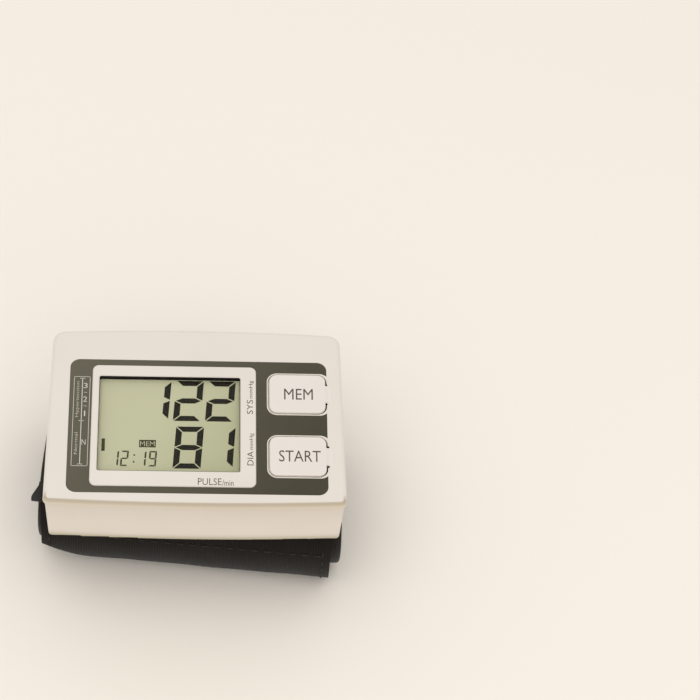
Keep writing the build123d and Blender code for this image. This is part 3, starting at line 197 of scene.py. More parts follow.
# %% Shade on the front wall
FRONT_FROM, FRONT_TO = -24.6, -22.8
RAMP_FOOT, RAMP_TALL = 30.0, 18.0
plain = housing_abs.node_tree.nodes["Principled BSDF"].inputs["Base Color"].links[0].from_socket
place = add(housing_abs, "ShaderNodeTexCoord").outputs["Object"]
spot = add(housing_abs, "ShaderNodeSeparateXYZ", Vector=place).outputs
depths = {"From_Min": FRONT_FROM * MM, "From_Max": FRONT_TO * MM, "To_Min": 1.0, "To_Max": 0.0}
front = add(housing_abs, "ShaderNodeMapRange", Value=spot["Y"], **depths).outputs["Result"]
heights = {"From_Min": RAMP_FOOT * MM, "From_Max": (RAMP_FOOT + RAMP_TALL) * MM}
height = add(housing_abs, "ShaderNodeMapRange", Value=spot["Z"], **heights).outputs["Result"]
shade = add(housing_abs, "ShaderNodeValToRGB", Fac=height)
stops = (
    (30.3, "d2cfc0"), (30.7, "dbdbca"), (31.7, "f3f4f0"), (32.8, "ffffff"), (37.0, "ffffff"),
    (40.0, "fbfbfa"), (43.6, "f9f7f6"), (45.0, "f6f5ef"), (46.26, "f3efe5"), (46.55, "e8e2d4"),
    (46.8, "dbd4c4"), (47.0, "d1c8b8"), (47.14, "ccc3b2"), (47.24, "d5d0bf"), (47.285, "eae6da"),
    (47.296, "ffffff"),
)
elements = shade.color_ramp.elements
for level, code in stops[1:-1]:
    elements.new((level - RAMP_FOOT) / RAMP_TALL).color = srgb(code)
for element, (level, code) in ((elements[0], stops[0]), (elements[-1], stops[-1])):
    element.position, element.color = (level - RAMP_FOOT) / RAMP_TALL, srgb(code)
multiply = {"data_type": "RGBA", "blend_type": "MULTIPLY"}
tinted = add(housing_abs, "ShaderNodeMix", multiply, _0=front, _6=plain, _7=shade.outputs["Color"])
feed(housing_abs, "Base Color", tinted.outputs[2])
print("shade stops", len(elements))

# %% [markdown]
# ## From a mesh to a piece
# Each new shape is drawn in millimetres. One helper scales it to metres, moves it to its place
# inside the mesh and says which body carries it. The object itself stays at the origin, so
# patterns on Object coordinates stay put. The first shape is the table that the monitor lies on.


# %% Piece helper
def piece(name, bm, material, body=None, place=None, smooth=False):
    """Turn a bmesh in millimetres into a finished object in metres, at the origin."""
    scale = Matrix.Scale(MM, 4) @ (place or Matrix.Identity(4))
    bmesh.ops.transform(bm, matrix=scale, verts=bm.verts)
    mesh = bpy.data.meshes.new(name)
    bm.to_mesh(mesh)
    bm.free()
    mesh.materials.append(material)
    if smooth:
        mesh.shade_smooth()
    made = bpy.data.objects.new(name, mesh)
    bpy.context.scene.collection.objects.link(made)
    if body:
        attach(made, body)
    return made


# %% Floor
sheet = bmesh.new()
bmesh.ops.create_grid(sheet, x_segments=1, y_segments=1, size=6000.0)
paper = new_material("paper_backdrop", 0.9, Base_Color=srgb("f8eee0"), Specular_IOR_Level=0.1)
floor = piece("floor", sheet, paper, place=Matrix.Translation((0, 0, -0.2)))
print("floor laid")

# %% [markdown]
# ## Backdrop and light
# The world is the backdrop. Light Path lets the camera, glass and gloss see it at its written
# colour, while it lights the monitor evenly at a lower strength. Two broad soft lamps add the
# direction, at a plain level, so that a colour renders about as it is written.

# %% World
DAYLIGHT = srgb("fafcff")
world = bpy.data.worlds.new("studio")
bpy.context.scene.world = world
world.use_nodes = True
rays = add(world, "ShaderNodeLightPath").outputs
seen = rays["Is Camera Ray"]
for ray in ("Is Transmission Ray", "Is Glossy Ray"):
    seen = add(world, "ShaderNodeMath", {"operation": "MAXIMUM"}, _0=seen, _1=rays[ray]).outputs[0]
soft = add(world, "ShaderNodeBackground", Color=DAYLIGHT, Strength=0.8).outputs[0]
backdrop = add(world, "ShaderNodeBackground", Color=srgb("efe7da"), Strength=1.0).outputs[0]
mixed = add(world, "ShaderNodeMixShader", _0=seen, _1=soft, _2=backdrop).outputs[0]
world.node_tree.links.new(mixed, world.node_tree.nodes["World Output"].inputs["Surface"])
bpy.context.scene.view_settings.view_transform = "Standard"

# %% Lamps
lit_point = Vector((0, 0, 0.03))
for name, place, watts in (("key_light", (-0.12, -0.3, 1.0), 3.3), ("fill_light", (0.45, -0.75, 0.6), 0.6)):
    lamp = bpy.data.objects.new(name, bpy.data.lights.new(name, "AREA"))
    lamp.data.size, lamp.data.energy, lamp.data.color = 0.9, watts, DAYLIGHT[:3]
    lamp.location = place
    lamp.rotation_euler = (lit_point - lamp.location).to_track_quat("-Z", "Y").to_euler()
    bpy.context.scene.collection.objects.link(lamp)
    print(name, watts, "W")

# %% [markdown]
# ## Printed film, lens and liquid crystal
# The dark surround is a screen-printed film: olive-grey ink under a satin coat. The lens is clear
# acrylic; its shader is mostly see-through, so the lamps still reach the glass below it. The
# liquid crystal glass is a grey-green reflective stack. Film and glass catch more light at one
# corner, so their tone carries a painted highlight: a gradient turned to run from corner to corner.


# %% A slanted gradient
def across(made, shift, turned, per_metre):
    """How far a point lies along a slanted line over the surface, from 0 to 1."""
    place = add(made, "ShaderNodeTexCoord").outputs["Object"]
    slant = {"Location": shift, "Rotation": (0, 0, radians(turned)), "Scale": (per_metre,) * 3}
    lean = add(made, "ShaderNodeMapping", Vector=place, **slant)
    return add(made, "ShaderNodeTexGradient", Vector=lean.outputs["Vector"]).outputs["Fac"]


# %% Film, lens and glass
film = new_material("printed_film_olive_grey", 0.42, Specular_IOR_Level=0.35)
place = add(film, "ShaderNodeTexCoord").outputs["Object"]
cloudy = add(film, "ShaderNodeTexNoise", Vector=place, Scale=1 / (9.0 * MM), Detail=3.0).outputs["Fac"]
# Painted highlight: the film is lighter towards one corner, where it catches the light, and darker towards
# the other.
painted_light_fade = across(film, (0.5, 0.35, 0), 25, 12)
noise_and_painted_light = add(film, "ShaderNodeMath", {"operation": "MULTIPLY_ADD"}, _0=cloudy, _1=0.15, _2=painted_light_fade).outputs[0]
dress(film, "5f5a49", "3e3929", noise_and_painted_light, (0.15, 0.95), 0.25, 0.004, detail=2.0)
acrylic = new_material("acrylic_lens_clear", 0.06, Base_Color=srgb("262622"), Alpha=0.06, IOR=1.49)
lcd = new_material("lcd_reflective_grey_green", 0.3, Specular_IOR_Level=0.3)
# Painted light: the glass is lighter towards one corner, where it catches the light, and darker towards the
# other.
dress(lcd, "d6d3ac", "b8b68a", across(lcd, (0.25, 0.5, 0), 35, 18), (0.1, 1.0))
finish(film, "display_panel")
finish(acrylic, "display_lens")
finish(lcd, "lcd_glass")

# %% [markdown]
# ## Seven-segment figures
# Each figure is seven bars. A bar starts as a one-face grid, and its ends are cut on slanted
# lines with bisect_plane, which leaves the pointed middle bar and mitred corners of real liquid
# crystal segments. A font would have the wrong ends, and its strokes can't be lit one by one. The
# lit bars are leaned together, then given the thickness of a print.

# %% Seven-segment helpers
LIT = {"1": "bc", "2": "abged", "8": "abcdefg", "9": "abcdfg"}
LEAN, PRINT = 0.063, 0.02


def flat_bar(bm, left, low, wide, high):
    """One flat rectangular face, made as a grid and stretched to size."""
    made = bmesh.ops.create_grid(bm, x_segments=1, y_segments=1, size=0.5)
    place = Matrix.Translation((left + wide / 2, low + high / 2, 0)) @ Matrix.Diagonal((wide, high, 1, 1))
    bmesh.ops.transform(bm, matrix=place, verts=made["verts"])


def cut_off(bm, point, away):
    """Cut everything on a plane and drop what lies on its far side."""
    everything = bm.verts[:] + bm.edges[:] + bm.faces[:]
    bmesh.ops.bisect_plane(bm, geom=everything, plane_co=point, plane_no=away, clear_outer=True)


# %% One bar of a figure
def segment(which, wide, high, stroke, gap):
    """One bar of a figure whose lower left corner is at the origin."""
    middle, upper = high / 2, which in "abf"
    bar = bmesh.new()
    if which in "ad":
        flat_bar(bar, 0, high - stroke if upper else 0, wide, stroke)
        fall = -1 if upper else 1
        corner = high if upper else 0
        cuts = [((0, corner), (-1, fall)), ((wide, corner), (1, fall))]
    elif which == "g":
        flat_bar(bar, 0, middle - stroke / 2, wide, stroke)
        cuts = [((x, middle), (away, lift)) for x, away in ((0, -1), (wide, 1)) for lift in (-2, 2)]
    else:
        edge, inward = (wide, -1) if which in "bc" else (0, 1)
        flat_bar(bar, edge - stroke if inward < 0 else 0, middle if upper else 0, stroke, middle)
        rise = 1 if upper else -1
        cuts = [((edge, high if upper else 0), (inward, rise)), ((edge, middle), (inward, -2 * rise))]
    for point, away in cuts:
        off = Vector((*away, 0)).normalized()
        cut_off(bar, Vector((*point, 0)) - off * gap / 2, off)
    return bar


# %% Whole figures
def gather(target, part):
    """Move everything in one bmesh into another."""
    held = bpy.data.meshes.new("held")
    part.to_mesh(held)
    part.free()
    target.from_mesh(held)
    bpy.data.meshes.remove(held)


def write_figure(bm, character, left, foot, wide, high, stroke, gap):
    """Add the lit bars of one figure, leaned to the right."""
    leaned = Matrix(((1, LEAN, 0, left), (0, 1, 0, foot), (0, 0, 1, 0), (0, 0, 0, 1)))
    for which in LIT[character]:
        bar = segment(which, wide, high, stroke, gap)
        bmesh.ops.transform(bar, matrix=leaned, verts=bar.verts)
        gather(bm, bar)


# %% Thickness and ink
def of_kind(made, kind):
    """The vertices or the edges among what an operator made."""
    return [part for part in made if isinstance(part, kind)]


def thicken(bm, thick):
    """Give flat faces a thickness, upwards if it is positive, and close the shell."""
    made = bmesh.ops.extrude_face_region(bm, geom=bm.faces[:])
    bmesh.ops.translate(bm, vec=(0, 0, thick), verts=of_kind(made["geom"], bmesh.types.BMVert))
    bmesh.ops.recalc_face_normals(bm, faces=bm.faces)


def patchy(name, dark, light, roughness, specular, patch_mm):
    """Ink, lacquer or thread: nearly one tone, with faint patches."""
    return dress(new_material(name, roughness, Specular_IOR_Level=specular), dark, light, patch_mm)


# %% [markdown]
# ## Lit figures on the front polariser
# A liquid crystal's figures show in its front polariser, the film on its glass, right under the
# lens. The solids keep the glass lower, so the polariser is a thin plate of the same finish at
# the height where the figures are seen. The figures lie on it as prints do. Big ones are nearly
# black, and small ones let the grey-green through.

# %% Lit figures
panel_middle = Vector((0.5, -3.2, 0))
lcd_top = 46.03
segment_ink = patchy("liquid_crystal_lit_segment", "1b1911", "232117", 0.4, 0.2, 3.0)
faint_ink = patchy("liquid_crystal_small_segment", "45432b", "4d4a33", 0.4, 0.2, 3.0)
on_glass = Matrix.Translation(panel_middle + Vector((-0.13, 0.9, lcd_top + 0.01)))


def bars(name, rows, thick, material, place):
    """One piece from flat bars, each with its left, low, wide and high."""
    bm = bmesh.new()
    for row in rows:
        flat_bar(bm, *row)
    thicken(bm, thick)
    piece(name, bm, material, "monitor", place)


polariser_bar = ((-24.4, -16.85, 35.4, 28.5),)
bars("lcd_front_polariser", polariser_bar, 0.1, lcd, Matrix.Translation((0, 0, lcd_top - 0.1)))

# %% Big figures
big = bmesh.new()
for character, left, foot, high in (
    ("1", -14.35, 1.95, 11.6), ("2", -6.2, 1.5, 12.3), ("2", 1.85, 1.5, 12.3),
    ("8", -6.1, -12.8, 12.6), ("1", 1.85, -12.3, 12.1),
):
    write_figure(big, character, left, foot, 6.95, high, 1.55, 0.3)
thicken(big, PRINT)
piece("lcd_pressure_figures", big, segment_ink, "monitor", on_glass)

# %% Small figures and marks
small = bmesh.new()
for character, left in (("1", -21.55), ("2", -19.15), ("1", -14.75), ("9", -12.15)):
    write_figure(small, character, left, -12.3, 1.9, 4.6, 0.42, 0.1)
for rise in (0.0, 2.0):
    flat_bar(small, -15.95 + rise * LEAN, -11.2 + rise, 0.4, 0.45)
thicken(small, PRINT)
piece("lcd_clock_figures", small, faint_ink, "monitor", on_glass)
marks = ((-23.85, -7.85, 0.85, 3.7), (-14.5, -6.6, 4.15, 2.2))
bars("lcd_level_bar_and_memory_mark", marks, PRINT, faint_ink, on_glass)
print("figures written on the glass")

# %% [markdown]
# ## Printed words
# Pad printing lays a thin film of ink on the moulded frame and keys. Words are text objects
# turned to a mesh, then stretched to the box that the print fills, which is surer than guessing a
# type size. A small negative offset thins the strokes to those of the pad-printed letters.


# %% Lettering helper
def lettering(name, words, box, level, body, ink, turned, weight):
    """Words stretched to a box (left, right, front, rear) from the panel's middle."""
    text = bpy.data.curves.new(name, "FONT")
    text.body, text.offset, text.extrude, text.resolution_u = words, weight, 0.5, 3
    holder = bpy.data.objects.new(name + "_text", text)
    bpy.context.scene.collection.objects.link(holder)
    bpy.context.view_layer.update()
    shape = bmesh.new()
    flat = bpy.data.meshes.new_from_object(holder.evaluated_get(bpy.context.evaluated_depsgraph_get()))
    shape.from_mesh(flat)
    bpy.data.meshes.remove(flat)
    bpy.data.objects.remove(holder)
    bmesh.ops.remove_doubles(shape, verts=shape.verts, dist=0.0005)
    if turned:
        quarter = Matrix.Rotation(pi / 2, 3, "Z")
        bmesh.ops.rotate(shape, verts=shape.verts, cent=(0, 0, 0), matrix=quarter)
    low = [min(v.co[i] for v in shape.verts) for i in range(3)]
    high = [max(v.co[i] for v in shape.verts) for i in range(3)]
    left, right_end, front, rear = box
    sizes = (right_end - left, rear - front, PRINT)
    stretch = Matrix.Diagonal((*(size / (b - a) for size, a, b in zip(sizes, low, high)), 1))
    corner = Matrix.Translation(panel_middle + Vector((left, front, level)))
    piece(name, shape, ink, body, corner @ stretch @ Matrix.Translation([-v for v in low]))


# %% Words on the frame, the keys and the scale
grey_ink = patchy("pad_print_warm_grey_ink", "50463b", "5a5046", 0.55, 0.3, 1.2)
white_ink = patchy("screen_print_pale_ink", "c9c3b3", "d2ccbd", 0.5, 0.3, 1.2)
dim_ink = patchy("screen_print_dim_ink", "b8af9e", "c2b9a8", 0.5, 0.3, 1.2)
face, frame_top, key_top = 47.3, 47.7, 47.75
for name, words, box, turned, weight in (
    ("sys", "SYS", (12.2, 13.72, 3.7, 8.0), True, -0.006),
    ("sys_unit", "mmHg", (12.7, 13.95, 8.5, 13.9), True, -0.004),
    ("dia", "DIA", (12.3, 13.82, -11.75, -7.6), True, -0.006),
    ("dia_unit", "mmHg", (12.8, 14.05, -7.1, -2.15), True, -0.004),
    ("pulse", "PULSE", (0.1, 5.95, -17.75, -15.75), False, -0.007),
    ("pulse_unit", "/min", (6.1, 8.9, -17.9, -16.2), False, -0.004),
):
    lettering("print_" + name, words, box, frame_top, "monitor", grey_ink, turned, weight)
for name, words, box, level, body, ink, turned, weight in (
    ("print_mem", "MEM", (21.6, 28.85, 8.3, 11.6), key_top, "memory_key", grey_ink, False, -0.003),
    ("print_start", "START", (20.2, 30.6, -10.5, -7.15), key_top, "start_stop_key", grey_ink, False, -0.003),
    ("lcd_memory_word", "MEM", (-14.37, -10.77, -5.37, -3.97), lcd_top + 0.03, "monitor", lcd, False, -0.01),
    ("scale_3", "3", (-28.9, -27.9, 11.1, 12.7), face, "monitor", white_ink, False, -0.004),
    ("scale_2", "2", (-28.9, -27.9, 6.95, 8.55), face, "monitor", white_ink, False, -0.004),
    ("scale_1", "1", (-28.55, -28.25, 2.6, 4.2), face, "monitor", white_ink, False, -0.004),
    ("scale_n", "N", (-28.9, -27.9, -6.05, -4.45), face, "monitor", white_ink, False, -0.004),
    ("scale_hypertension", "Hypertension", (-30.75, -29.75, 2.3, 13.2), face, "monitor", dim_ink, True,
     -0.005),
    ("scale_normal", "Normal", (-30.75, -29.95, -8.9, -2.4), face, "monitor", dim_ink, True, -0.005),
):
    lettering(name, words, box, level, body, ink, turned, weight)
print("words printed")

# %% [markdown]
# ## Level scale
# Left of the window the film carries a framed scale of three levels, in thin pale lines with
# ticks. Each line is a flat bar with the thickness of a print, which stays crisp at any distance.

# %% Lines of the level scale
scale_lines = (
    (-31.35, -12.4, 4.1, 0.13), (-31.35, 14.57, 4.1, 0.13), (-31.35, -12.4, 0.13, 27.1),
    (-27.38, -12.4, 0.13, 27.1), (-29.3, -11.85, 0.2, 26.0), (-29.85, -11.9, 1.3, 0.16),
    (-29.85, 1.1, 1.3, 0.16), (-29.85, 14.05, 1.3, 0.16), (-28.75, 9.75, 0.8, 0.12),
    (-28.75, 5.6, 0.8, 0.12),
)
on_film = Matrix.Translation(panel_middle + Vector((0, 0, face)))
bars("level_scale_lines", scale_lines, PRINT, white_ink, on_film)
print("scale lines", len(scale_lines))

# %% [markdown]
# ## The cuff's own frame
# The cuff lies a few degrees askew under the case, so its pieces are built in a frame of their
# own: X along its axis, Y to the rear and Z up, from the middle of the flattened loop. The loop
# has a half-round bend at the front and rear and is flat above and below, so a section is swept
# round it by spin for the bends and by extrude for the flats. UV coordinates are laid along the
# cloth as it was cut, because a weave follows the cloth and not the room.

# %% Cuff frame and sweeping helpers
cuff_along, cuff_back = Vector((0.9957247, -0.0923706, 0)), Vector((0.0923706, 0.9957247, 0))
in_cuff = Matrix((cuff_along, cuff_back, Vector((0, 0, 1)))).transposed().to_4x4()
in_cuff = Matrix.Translation((0.88, 5.25, 13.5)) @ in_cuff
BEND, FLAT, HALF_LONG = 13.5, 8.0, 39.15
HALF_TURN = BEND * pi
AXIS = Vector((1, 0, 0))
print("cuff loop", round(2 * HALF_TURN + 4 * FLAT, 1), "mm round")


# %% Sweeping helpers
def go_round(bm, edges, y, degrees_turned, steps):
    """Sweep edges about the bend at y. A positive angle goes from the top to the rear."""
    turned = {"cent": (0, y, 0), "axis": -AXIS, "angle": radians(degrees_turned)}
    return of_kind(bmesh.ops.spin(bm, geom=edges, steps=steps, **turned)["geom_last"], bmesh.types.BMEdge)


def go_straight(bm, edges, move, steps):
    """Sweep edges along a straight line, by a move in X, Y and Z."""
    for _ in range(steps):
        made = bmesh.ops.extrude_edge_only(bm, edges=edges)["geom"]
        moved = of_kind(made, bmesh.types.BMVert)
        bmesh.ops.translate(bm, vec=[part / steps for part in move], verts=moved)
        edges = [e for e in of_kind(made, bmesh.types.BMEdge) if all(v in moved for v in e.verts)]
    return edges


def turn_to(angle):
    """Turn about the front bend, from the top to an angle down its front."""
    there, back = Matrix.Translation((0, -FLAT, 0)), Matrix.Translation((0, FLAT, 0))
    return there @ Matrix.Rotation(radians(angle), 4, "X") @ back


def go_round_loop(bm, edges, angle, bend_steps, flat_steps):
    """Sweep edges from an angle down the front, over the top and the rear, to below the front."""
    edges = go_round(bm, edges, -FLAT, angle, bend_steps[0])
    edges = go_straight(bm, edges, (0, 2 * FLAT, 0), flat_steps)
    edges = go_round(bm, edges, FLAT, 180, bend_steps[1])
    edges = go_straight(bm, edges, (0, -2 * FLAT, 0), flat_steps)
    return go_round(bm, edges, -FLAT, angle + 100, bend_steps[2])


# %% The oblique end
def ease(value):
    """A slow start and a slow stop between 0 and 1."""
    share = min(max(value, 0), 1)
    return share * share * (3 - 2 * share)


def slant(x, y):
    """How far the cuff's right end, which is cut oblique, draws a point in towards the rear."""
    return ease((x - 15) / 20) * (y + 21.5) * 0.12633


# %% UV along the cloth
def lay_uv(bm, round_end=False):
    """UV in tenths of a metre: U along the cuff's axis, V round the loop from the top.

    With round_end, U goes on round the end of the cloth by its distance from the bend."""
    uv = bm.loops.layers.uv.new("cloth")
    for f in bm.faces:
        middle = f.calc_center_median()
        for corner in f.loops:
            x, y, z = corner.vert.co
            if middle.y < -FLAT:
                v = -(FLAT + BEND * atan2(-y - FLAT, z))
            elif middle.y > FLAT:
                v = FLAT + BEND * atan2(y - FLAT, z)
            else:
                v = y if z > 0 else HALF_TURN + 2 * FLAT - y
            from_bend = (max(abs(y) - FLAT, 0) ** 2 + z * z) ** 0.5
            corner[uv].uv = ((abs(x) + from_bend if round_end else x) / 100, v / 100)

# %% [markdown]
# ## Fabrics
# The outer cloth is a black woven nylon over foam. Its plain weave is drawn about twice as coarse
# as the real one, 0.7 mm a thread, so that it shows: two waves cross, and a checker says which one
# lies on top. The strap is a ribbed loop fabric and the edge tape a narrow ribbed one, with one
# wave each. Woven nylon has a little sheen at a grazing angle, and dust and wear lift its black to
# a warm charcoal. A wave texture has a band every pi / 10 at scale 1.

# %% Woven fabric
WAVE = pi / 10


def woven(name, dark, light, thread_mm, ribbed, roughness, depth_mm, sheen):
    """Cloth on its own UV map: a plain weave, or ribs along the loop."""
    made = new_material(name, roughness, Specular_IOR_Level=0.12, Sheen_Weight=sheen, Sheen_Roughness=0.5)
    flat = add(made, "ShaderNodeUVMap", {"uv_map": "cloth"}).outputs["UV"]
    threads = {"Vector": flat, "Scale": WAVE / (thread_mm / 100), "Distortion": 0.25, "Detail": 1.0}
    warp = add(made, "ShaderNodeTexWave", {"bands_direction": "X"}, **threads).outputs["Fac"]
    if ribbed:
        over = warp
    else:
        weft = add(made, "ShaderNodeTexWave", {"bands_direction": "Y"}, **threads).outputs["Fac"]
        cells = add(made, "ShaderNodeTexChecker", Vector=flat, Scale=100 / thread_mm).outputs["Fac"]
        over = add(made, "ShaderNodeMix", {"data_type": "FLOAT"}, _0=cells, _2=warp, _3=weft).outputs[0]
    place = add(made, "ShaderNodeTexCoord").outputs["Object"]
    heights = [over]
    for size_mm, weight in ((0.5, 0.35), (14.0, 0.5)):
        fuzz = add(made, "ShaderNodeTexNoise", Vector=place, Scale=1 / (size_mm * MM), Detail=3.0)
        more = {"_0": fuzz.outputs["Fac"], "_1": weight, "_2": heights[-1]}
        heights.append(add(made, "ShaderNodeMath", {"operation": "MULTIPLY_ADD"}, **more).outputs[0])
    return dress(made, dark, light, heights[2], (0.35, 1.0), heights[1], depth_mm)


cover_cloth = woven("nylon_plain_weave_black", "100e0b", "241f19", 0.7, False, 0.85, 0.16, 0.25)
strap_cloth = woven("nylon_ribbed_loop_fabric_black", "0f0c09", "1c1813", 0.65, True, 0.9, 0.1, 0.12)
tape_cloth = woven("woven_edge_tape_black", "14110d", "27221b", 0.5, True, 0.8, 0.1, 0.2)
thread = patchy("polyester_thread_black", "181512", "26221d", 0.6, 0.4, 0.8)
print("fabrics woven")

# %% [markdown]
# ## Padded cuff
# The cuff is a wrapped pad: a stiff curved spring sheet and an air bladder, sewn between an outer
# cloth and a soft lining. It could be two sheets with padding between, but one closed shell is
# simpler and can hold pressure. It is swept round the loop from a section with rounded ends.
# Operators may leave edges and faces in another order in each run. A simulation follows that
# order, so both are sorted by their vertices, and the pad swells the same way every time.

# %% Pad section
WALL, CHANNEL = 5.0, 30.0
MIDDLE = BEND - WALL / 2


def pad_section():
    """Rounded rectangle: 78 mm along the axis and one wall thick, on top of the front bend."""
    bm = bmesh.new()
    made = bmesh.ops.create_grid(bm, x_segments=52, y_segments=1, size=0.5)
    stand = Matrix.Translation((0, -FLAT, MIDDLE)) @ Matrix.Rotation(pi / 2, 4, "X")
    stand @= Matrix.Diagonal((2 * HALF_LONG - 2, WALL - 0.4, 1, 1))
    bmesh.ops.transform(bm, matrix=stand, verts=made["verts"])
    ends = [e for e in bm.edges if all(abs(abs(v.co.x) - HALF_LONG + 1) < 0.01 for v in e.verts)]
    bmesh.ops.subdivide_edges(bm, edges=ends, cuts=5)
    for v in bm.verts:
        over = abs(v.co.x) - (HALF_LONG - 5)
        if over > 0:
            narrow = 1 - 0.16 * min(over, 1) - 0.1 * max(over - 1, 0)
            v.co.z = MIDDLE + (v.co.z - MIDDLE) * narrow
    return bm


def trim_end(bm):
    """Slide the right end in to its oblique cut."""
    for v in bm.verts:
        v.co.x -= slant(v.co.x, v.co.y)


def low_vertices(part):
    """One number from the three lowest vertices of an edge or a face, to sort it by."""
    lowest = sorted(v.index for v in part.verts)[:3]
    return sum(index / 1e4**place for place, index in enumerate(lowest))


def round_off(made):
    """One level of subdivision, the same in the view and the render."""
    rounding = made.modifiers.new("rounding", "SUBSURF")
    rounding.levels = rounding.render_levels = 1


# %% Sweep the pad
pad = pad_section()
bmesh.ops.transform(pad, matrix=turn_to(36), verts=pad.verts)
rim = [e for e in pad.edges if len(e.link_faces) == 1]
edges = go_round_loop(pad, rim, 36, (6, 26, 20), 9)
bmesh.ops.holes_fill(pad, edges=edges, sides=0)
trim_end(pad)
bmesh.ops.recalc_face_normals(pad, faces=pad.faces)
lay_uv(pad)
pad.verts.index_update()
pad.edges.sort(key=low_vertices)
pad.faces.sort(key=low_vertices)
print("pad faces", len(pad.faces))
cuff_pad = piece("cuff_pad", pad, cover_cloth, None, in_cuff, True)

# %% [markdown]
# ## Inflate the pad
# Cloth simulation with a little pressure inside swells the shell, while its edges, its sewn
# channels and the parts under the saddle and on the table are held. That is how the puffs between
# seams come out uneven, as sewn ones do; moved by hand they would look alike. The movement is
# capped, so that the pad stays clear of the strap and the case.


# %% What is held
def held_share(point):
    """How firmly a point of the pad is held, from 0 to 1: edges, channels, saddle and table."""
    x, y, z = point
    at_channel = 1 - abs(abs(x) - CHANNEL) / 1.2
    at_edge = (abs(x) - HALF_LONG + 3.2) / 1.5
    share = max(0.0, at_channel, min(1.0, at_edge))
    if Vector((0, max(abs(y) - FLAT, 0), z)).length > MIDDLE:
        if z > 11.5 or z < -12.6:
            share = 1.0
        elif y < -FLAT:
            share = max(share, 0.9)
    return share


# %% Cloth simulation
def inflate(made, pressure, cap_mm, frames):
    """Cloth simulation from rest with pressure inside and no gravity, then a cap on movement."""
    back_to_cuff = (Matrix.Scale(MM, 4) @ in_cuff).inverted()
    rest = [v.co.copy() for v in made.data.vertices]
    share = [held_share(back_to_cuff @ co) for co in rest]
    group = made.vertex_groups.new(name="held")
    for index, value in enumerate(share):
        if value > 0:
            group.add([index], value, "REPLACE")
    cloth = made.modifiers.new("inflate", "CLOTH")
    cloth.settings.use_pressure, cloth.settings.uniform_pressure_force = True, pressure
    cloth.settings.vertex_group_mass = "held"
    cloth.settings.mass, cloth.settings.effector_weights.gravity = 0.15, 0
    cloth.settings.tension_stiffness = cloth.settings.compression_stiffness = 20
    cloth.settings.bending_stiffness = 1.5
    for step in range(1, frames + 1):
        bpy.context.scene.frame_set(step)
    settled = made.evaluated_get(bpy.context.evaluated_depsgraph_get())
    moved = [v.co.copy() for v in settled.data.vertices]
    made.modifiers.remove(cloth)
    made.vertex_groups.remove(group)
    furthest, limit = 0, cap_mm * MM
    for vertex, old, new, hold in zip(made.data.vertices, rest, moved, share):
        step = (new - old) * (1 - hold)
        if step.length > limit:
            step *= limit / step.length
        furthest = max(furthest, step.length)
        vertex.co = old + step
    bpy.context.scene.frame_set(1)
    print(made.name, "moved up to", round(furthest / MM, 2), "mm")


# %% Swell and round the pad
inflate(cuff_pad, 3.0, 1.1, 16)
round_off(cuff_pad)
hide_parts("cuff_cover", "cuff_lining")
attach(cuff_pad, "monitor")

# %% [markdown]
# ## Edge tapes
# A woven tape is folded over each raw end of the pad and sewn down. Only its outside shows, but a
# real thickness lets it stand a little proud of the cloth. So a U section, drawn as a chain of
# edges, is swept round the same loop and then given its wall by a modifier.


# %% Edge tapes
def chain(bm, points):
    """A line of edges through points. Returns its first and last vertex."""
    first = last = bmesh.ops.create_vert(bm, co=points[0])["vert"][0]
    for point in points[1:]:
        last = bmesh.ops.extrude_vert_indiv(bm, verts=[last])["verts"][0]
        last.co = point
    return first, last


def give_wall(made, thick_mm, outwards):
    """A wall on a sheet, to its outside or its inside."""
    wall = made.modifiers.new("thickness", "SOLIDIFY")
    wall.thickness, wall.offset = thick_mm * MM, 1.0 if outwards else -1.0


def tape(name, end, node_name):
    """A tape over one end: along the outside, round the end and back along the lining."""
    half = WALL / 2 + 0.1
    section = (
        (-4.4, 0.0), (-2.4, 0.0), (-0.6, 0.0), (-0.3, -0.3), (-0.3, -half + 0.4),
        (-0.5, -2 * half + 1.4), (-1.0, -2 * half + 0.8), (-2.4, -2 * half + 0.6), (-4.4, -2 * half + 0.6),
    )
    bm = bmesh.new()
    chain(bm, [(end * (HALF_LONG + x), -FLAT, BEND - 0.4 + z) for x, z in section])
    bmesh.ops.transform(bm, matrix=turn_to(36.5), verts=bm.verts)
    go_round_loop(bm, bm.edges[:], 36.5, (6, 24, 18), 8)
    trim_end(bm)
    bmesh.ops.recalc_face_normals(bm, faces=bm.faces)
    lay_uv(bm, round_end=True)
    made = piece(name, bm, tape_cloth, "monitor", in_cuff, True)
    give_wall(made, 0.35, True)
    round_off(made)
    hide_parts(node_name)


tape("edge_tape_left", -1, "binding_left")
tape("edge_tape_right", 1, "binding_right")
print("tapes swept")

# %% [markdown]
# ## Outline of a strap
# One band of ribbed fabric does the closing. It leaves the cuff at the front, passes up through
# the ring, turns round the ring's front bar and comes back down over the front, where hook tape on
# its inside holds it. Flat cloth under tension keeps its shape, so it needs no simulation: each
# length is a closed outline in the cuff's section, swept along its axis and softened at its edges.

# %% Strap helpers
STRAP_LEFT, STRAP_WIDE, TABLE = -37.57, 74.0, -13.1


def on_bend(angle, radius):
    """Point of the section at an angle down the front bend, never below the table."""
    height = radius * cos(radians(angle))
    return Vector((0, -FLAT - radius * sin(radians(angle)), max(height, TABLE)))


front_bar, rear_bar = on_bend(46.0, 16.4), on_bend(33.5, 14.8)


def round_bar(radius, first, last, steps):
    """Points on an arc round the front bar. 0 points away from the cuff and 180 into it."""
    outward = (on_bend(46, 1) - on_bend(46, 0)).normalized() * radius
    angles = [radians(-first - (last - first) * i / steps) for i in range(steps + 1)]
    return [front_bar + Matrix.Rotation(angle, 3, "X") @ outward for angle in angles]


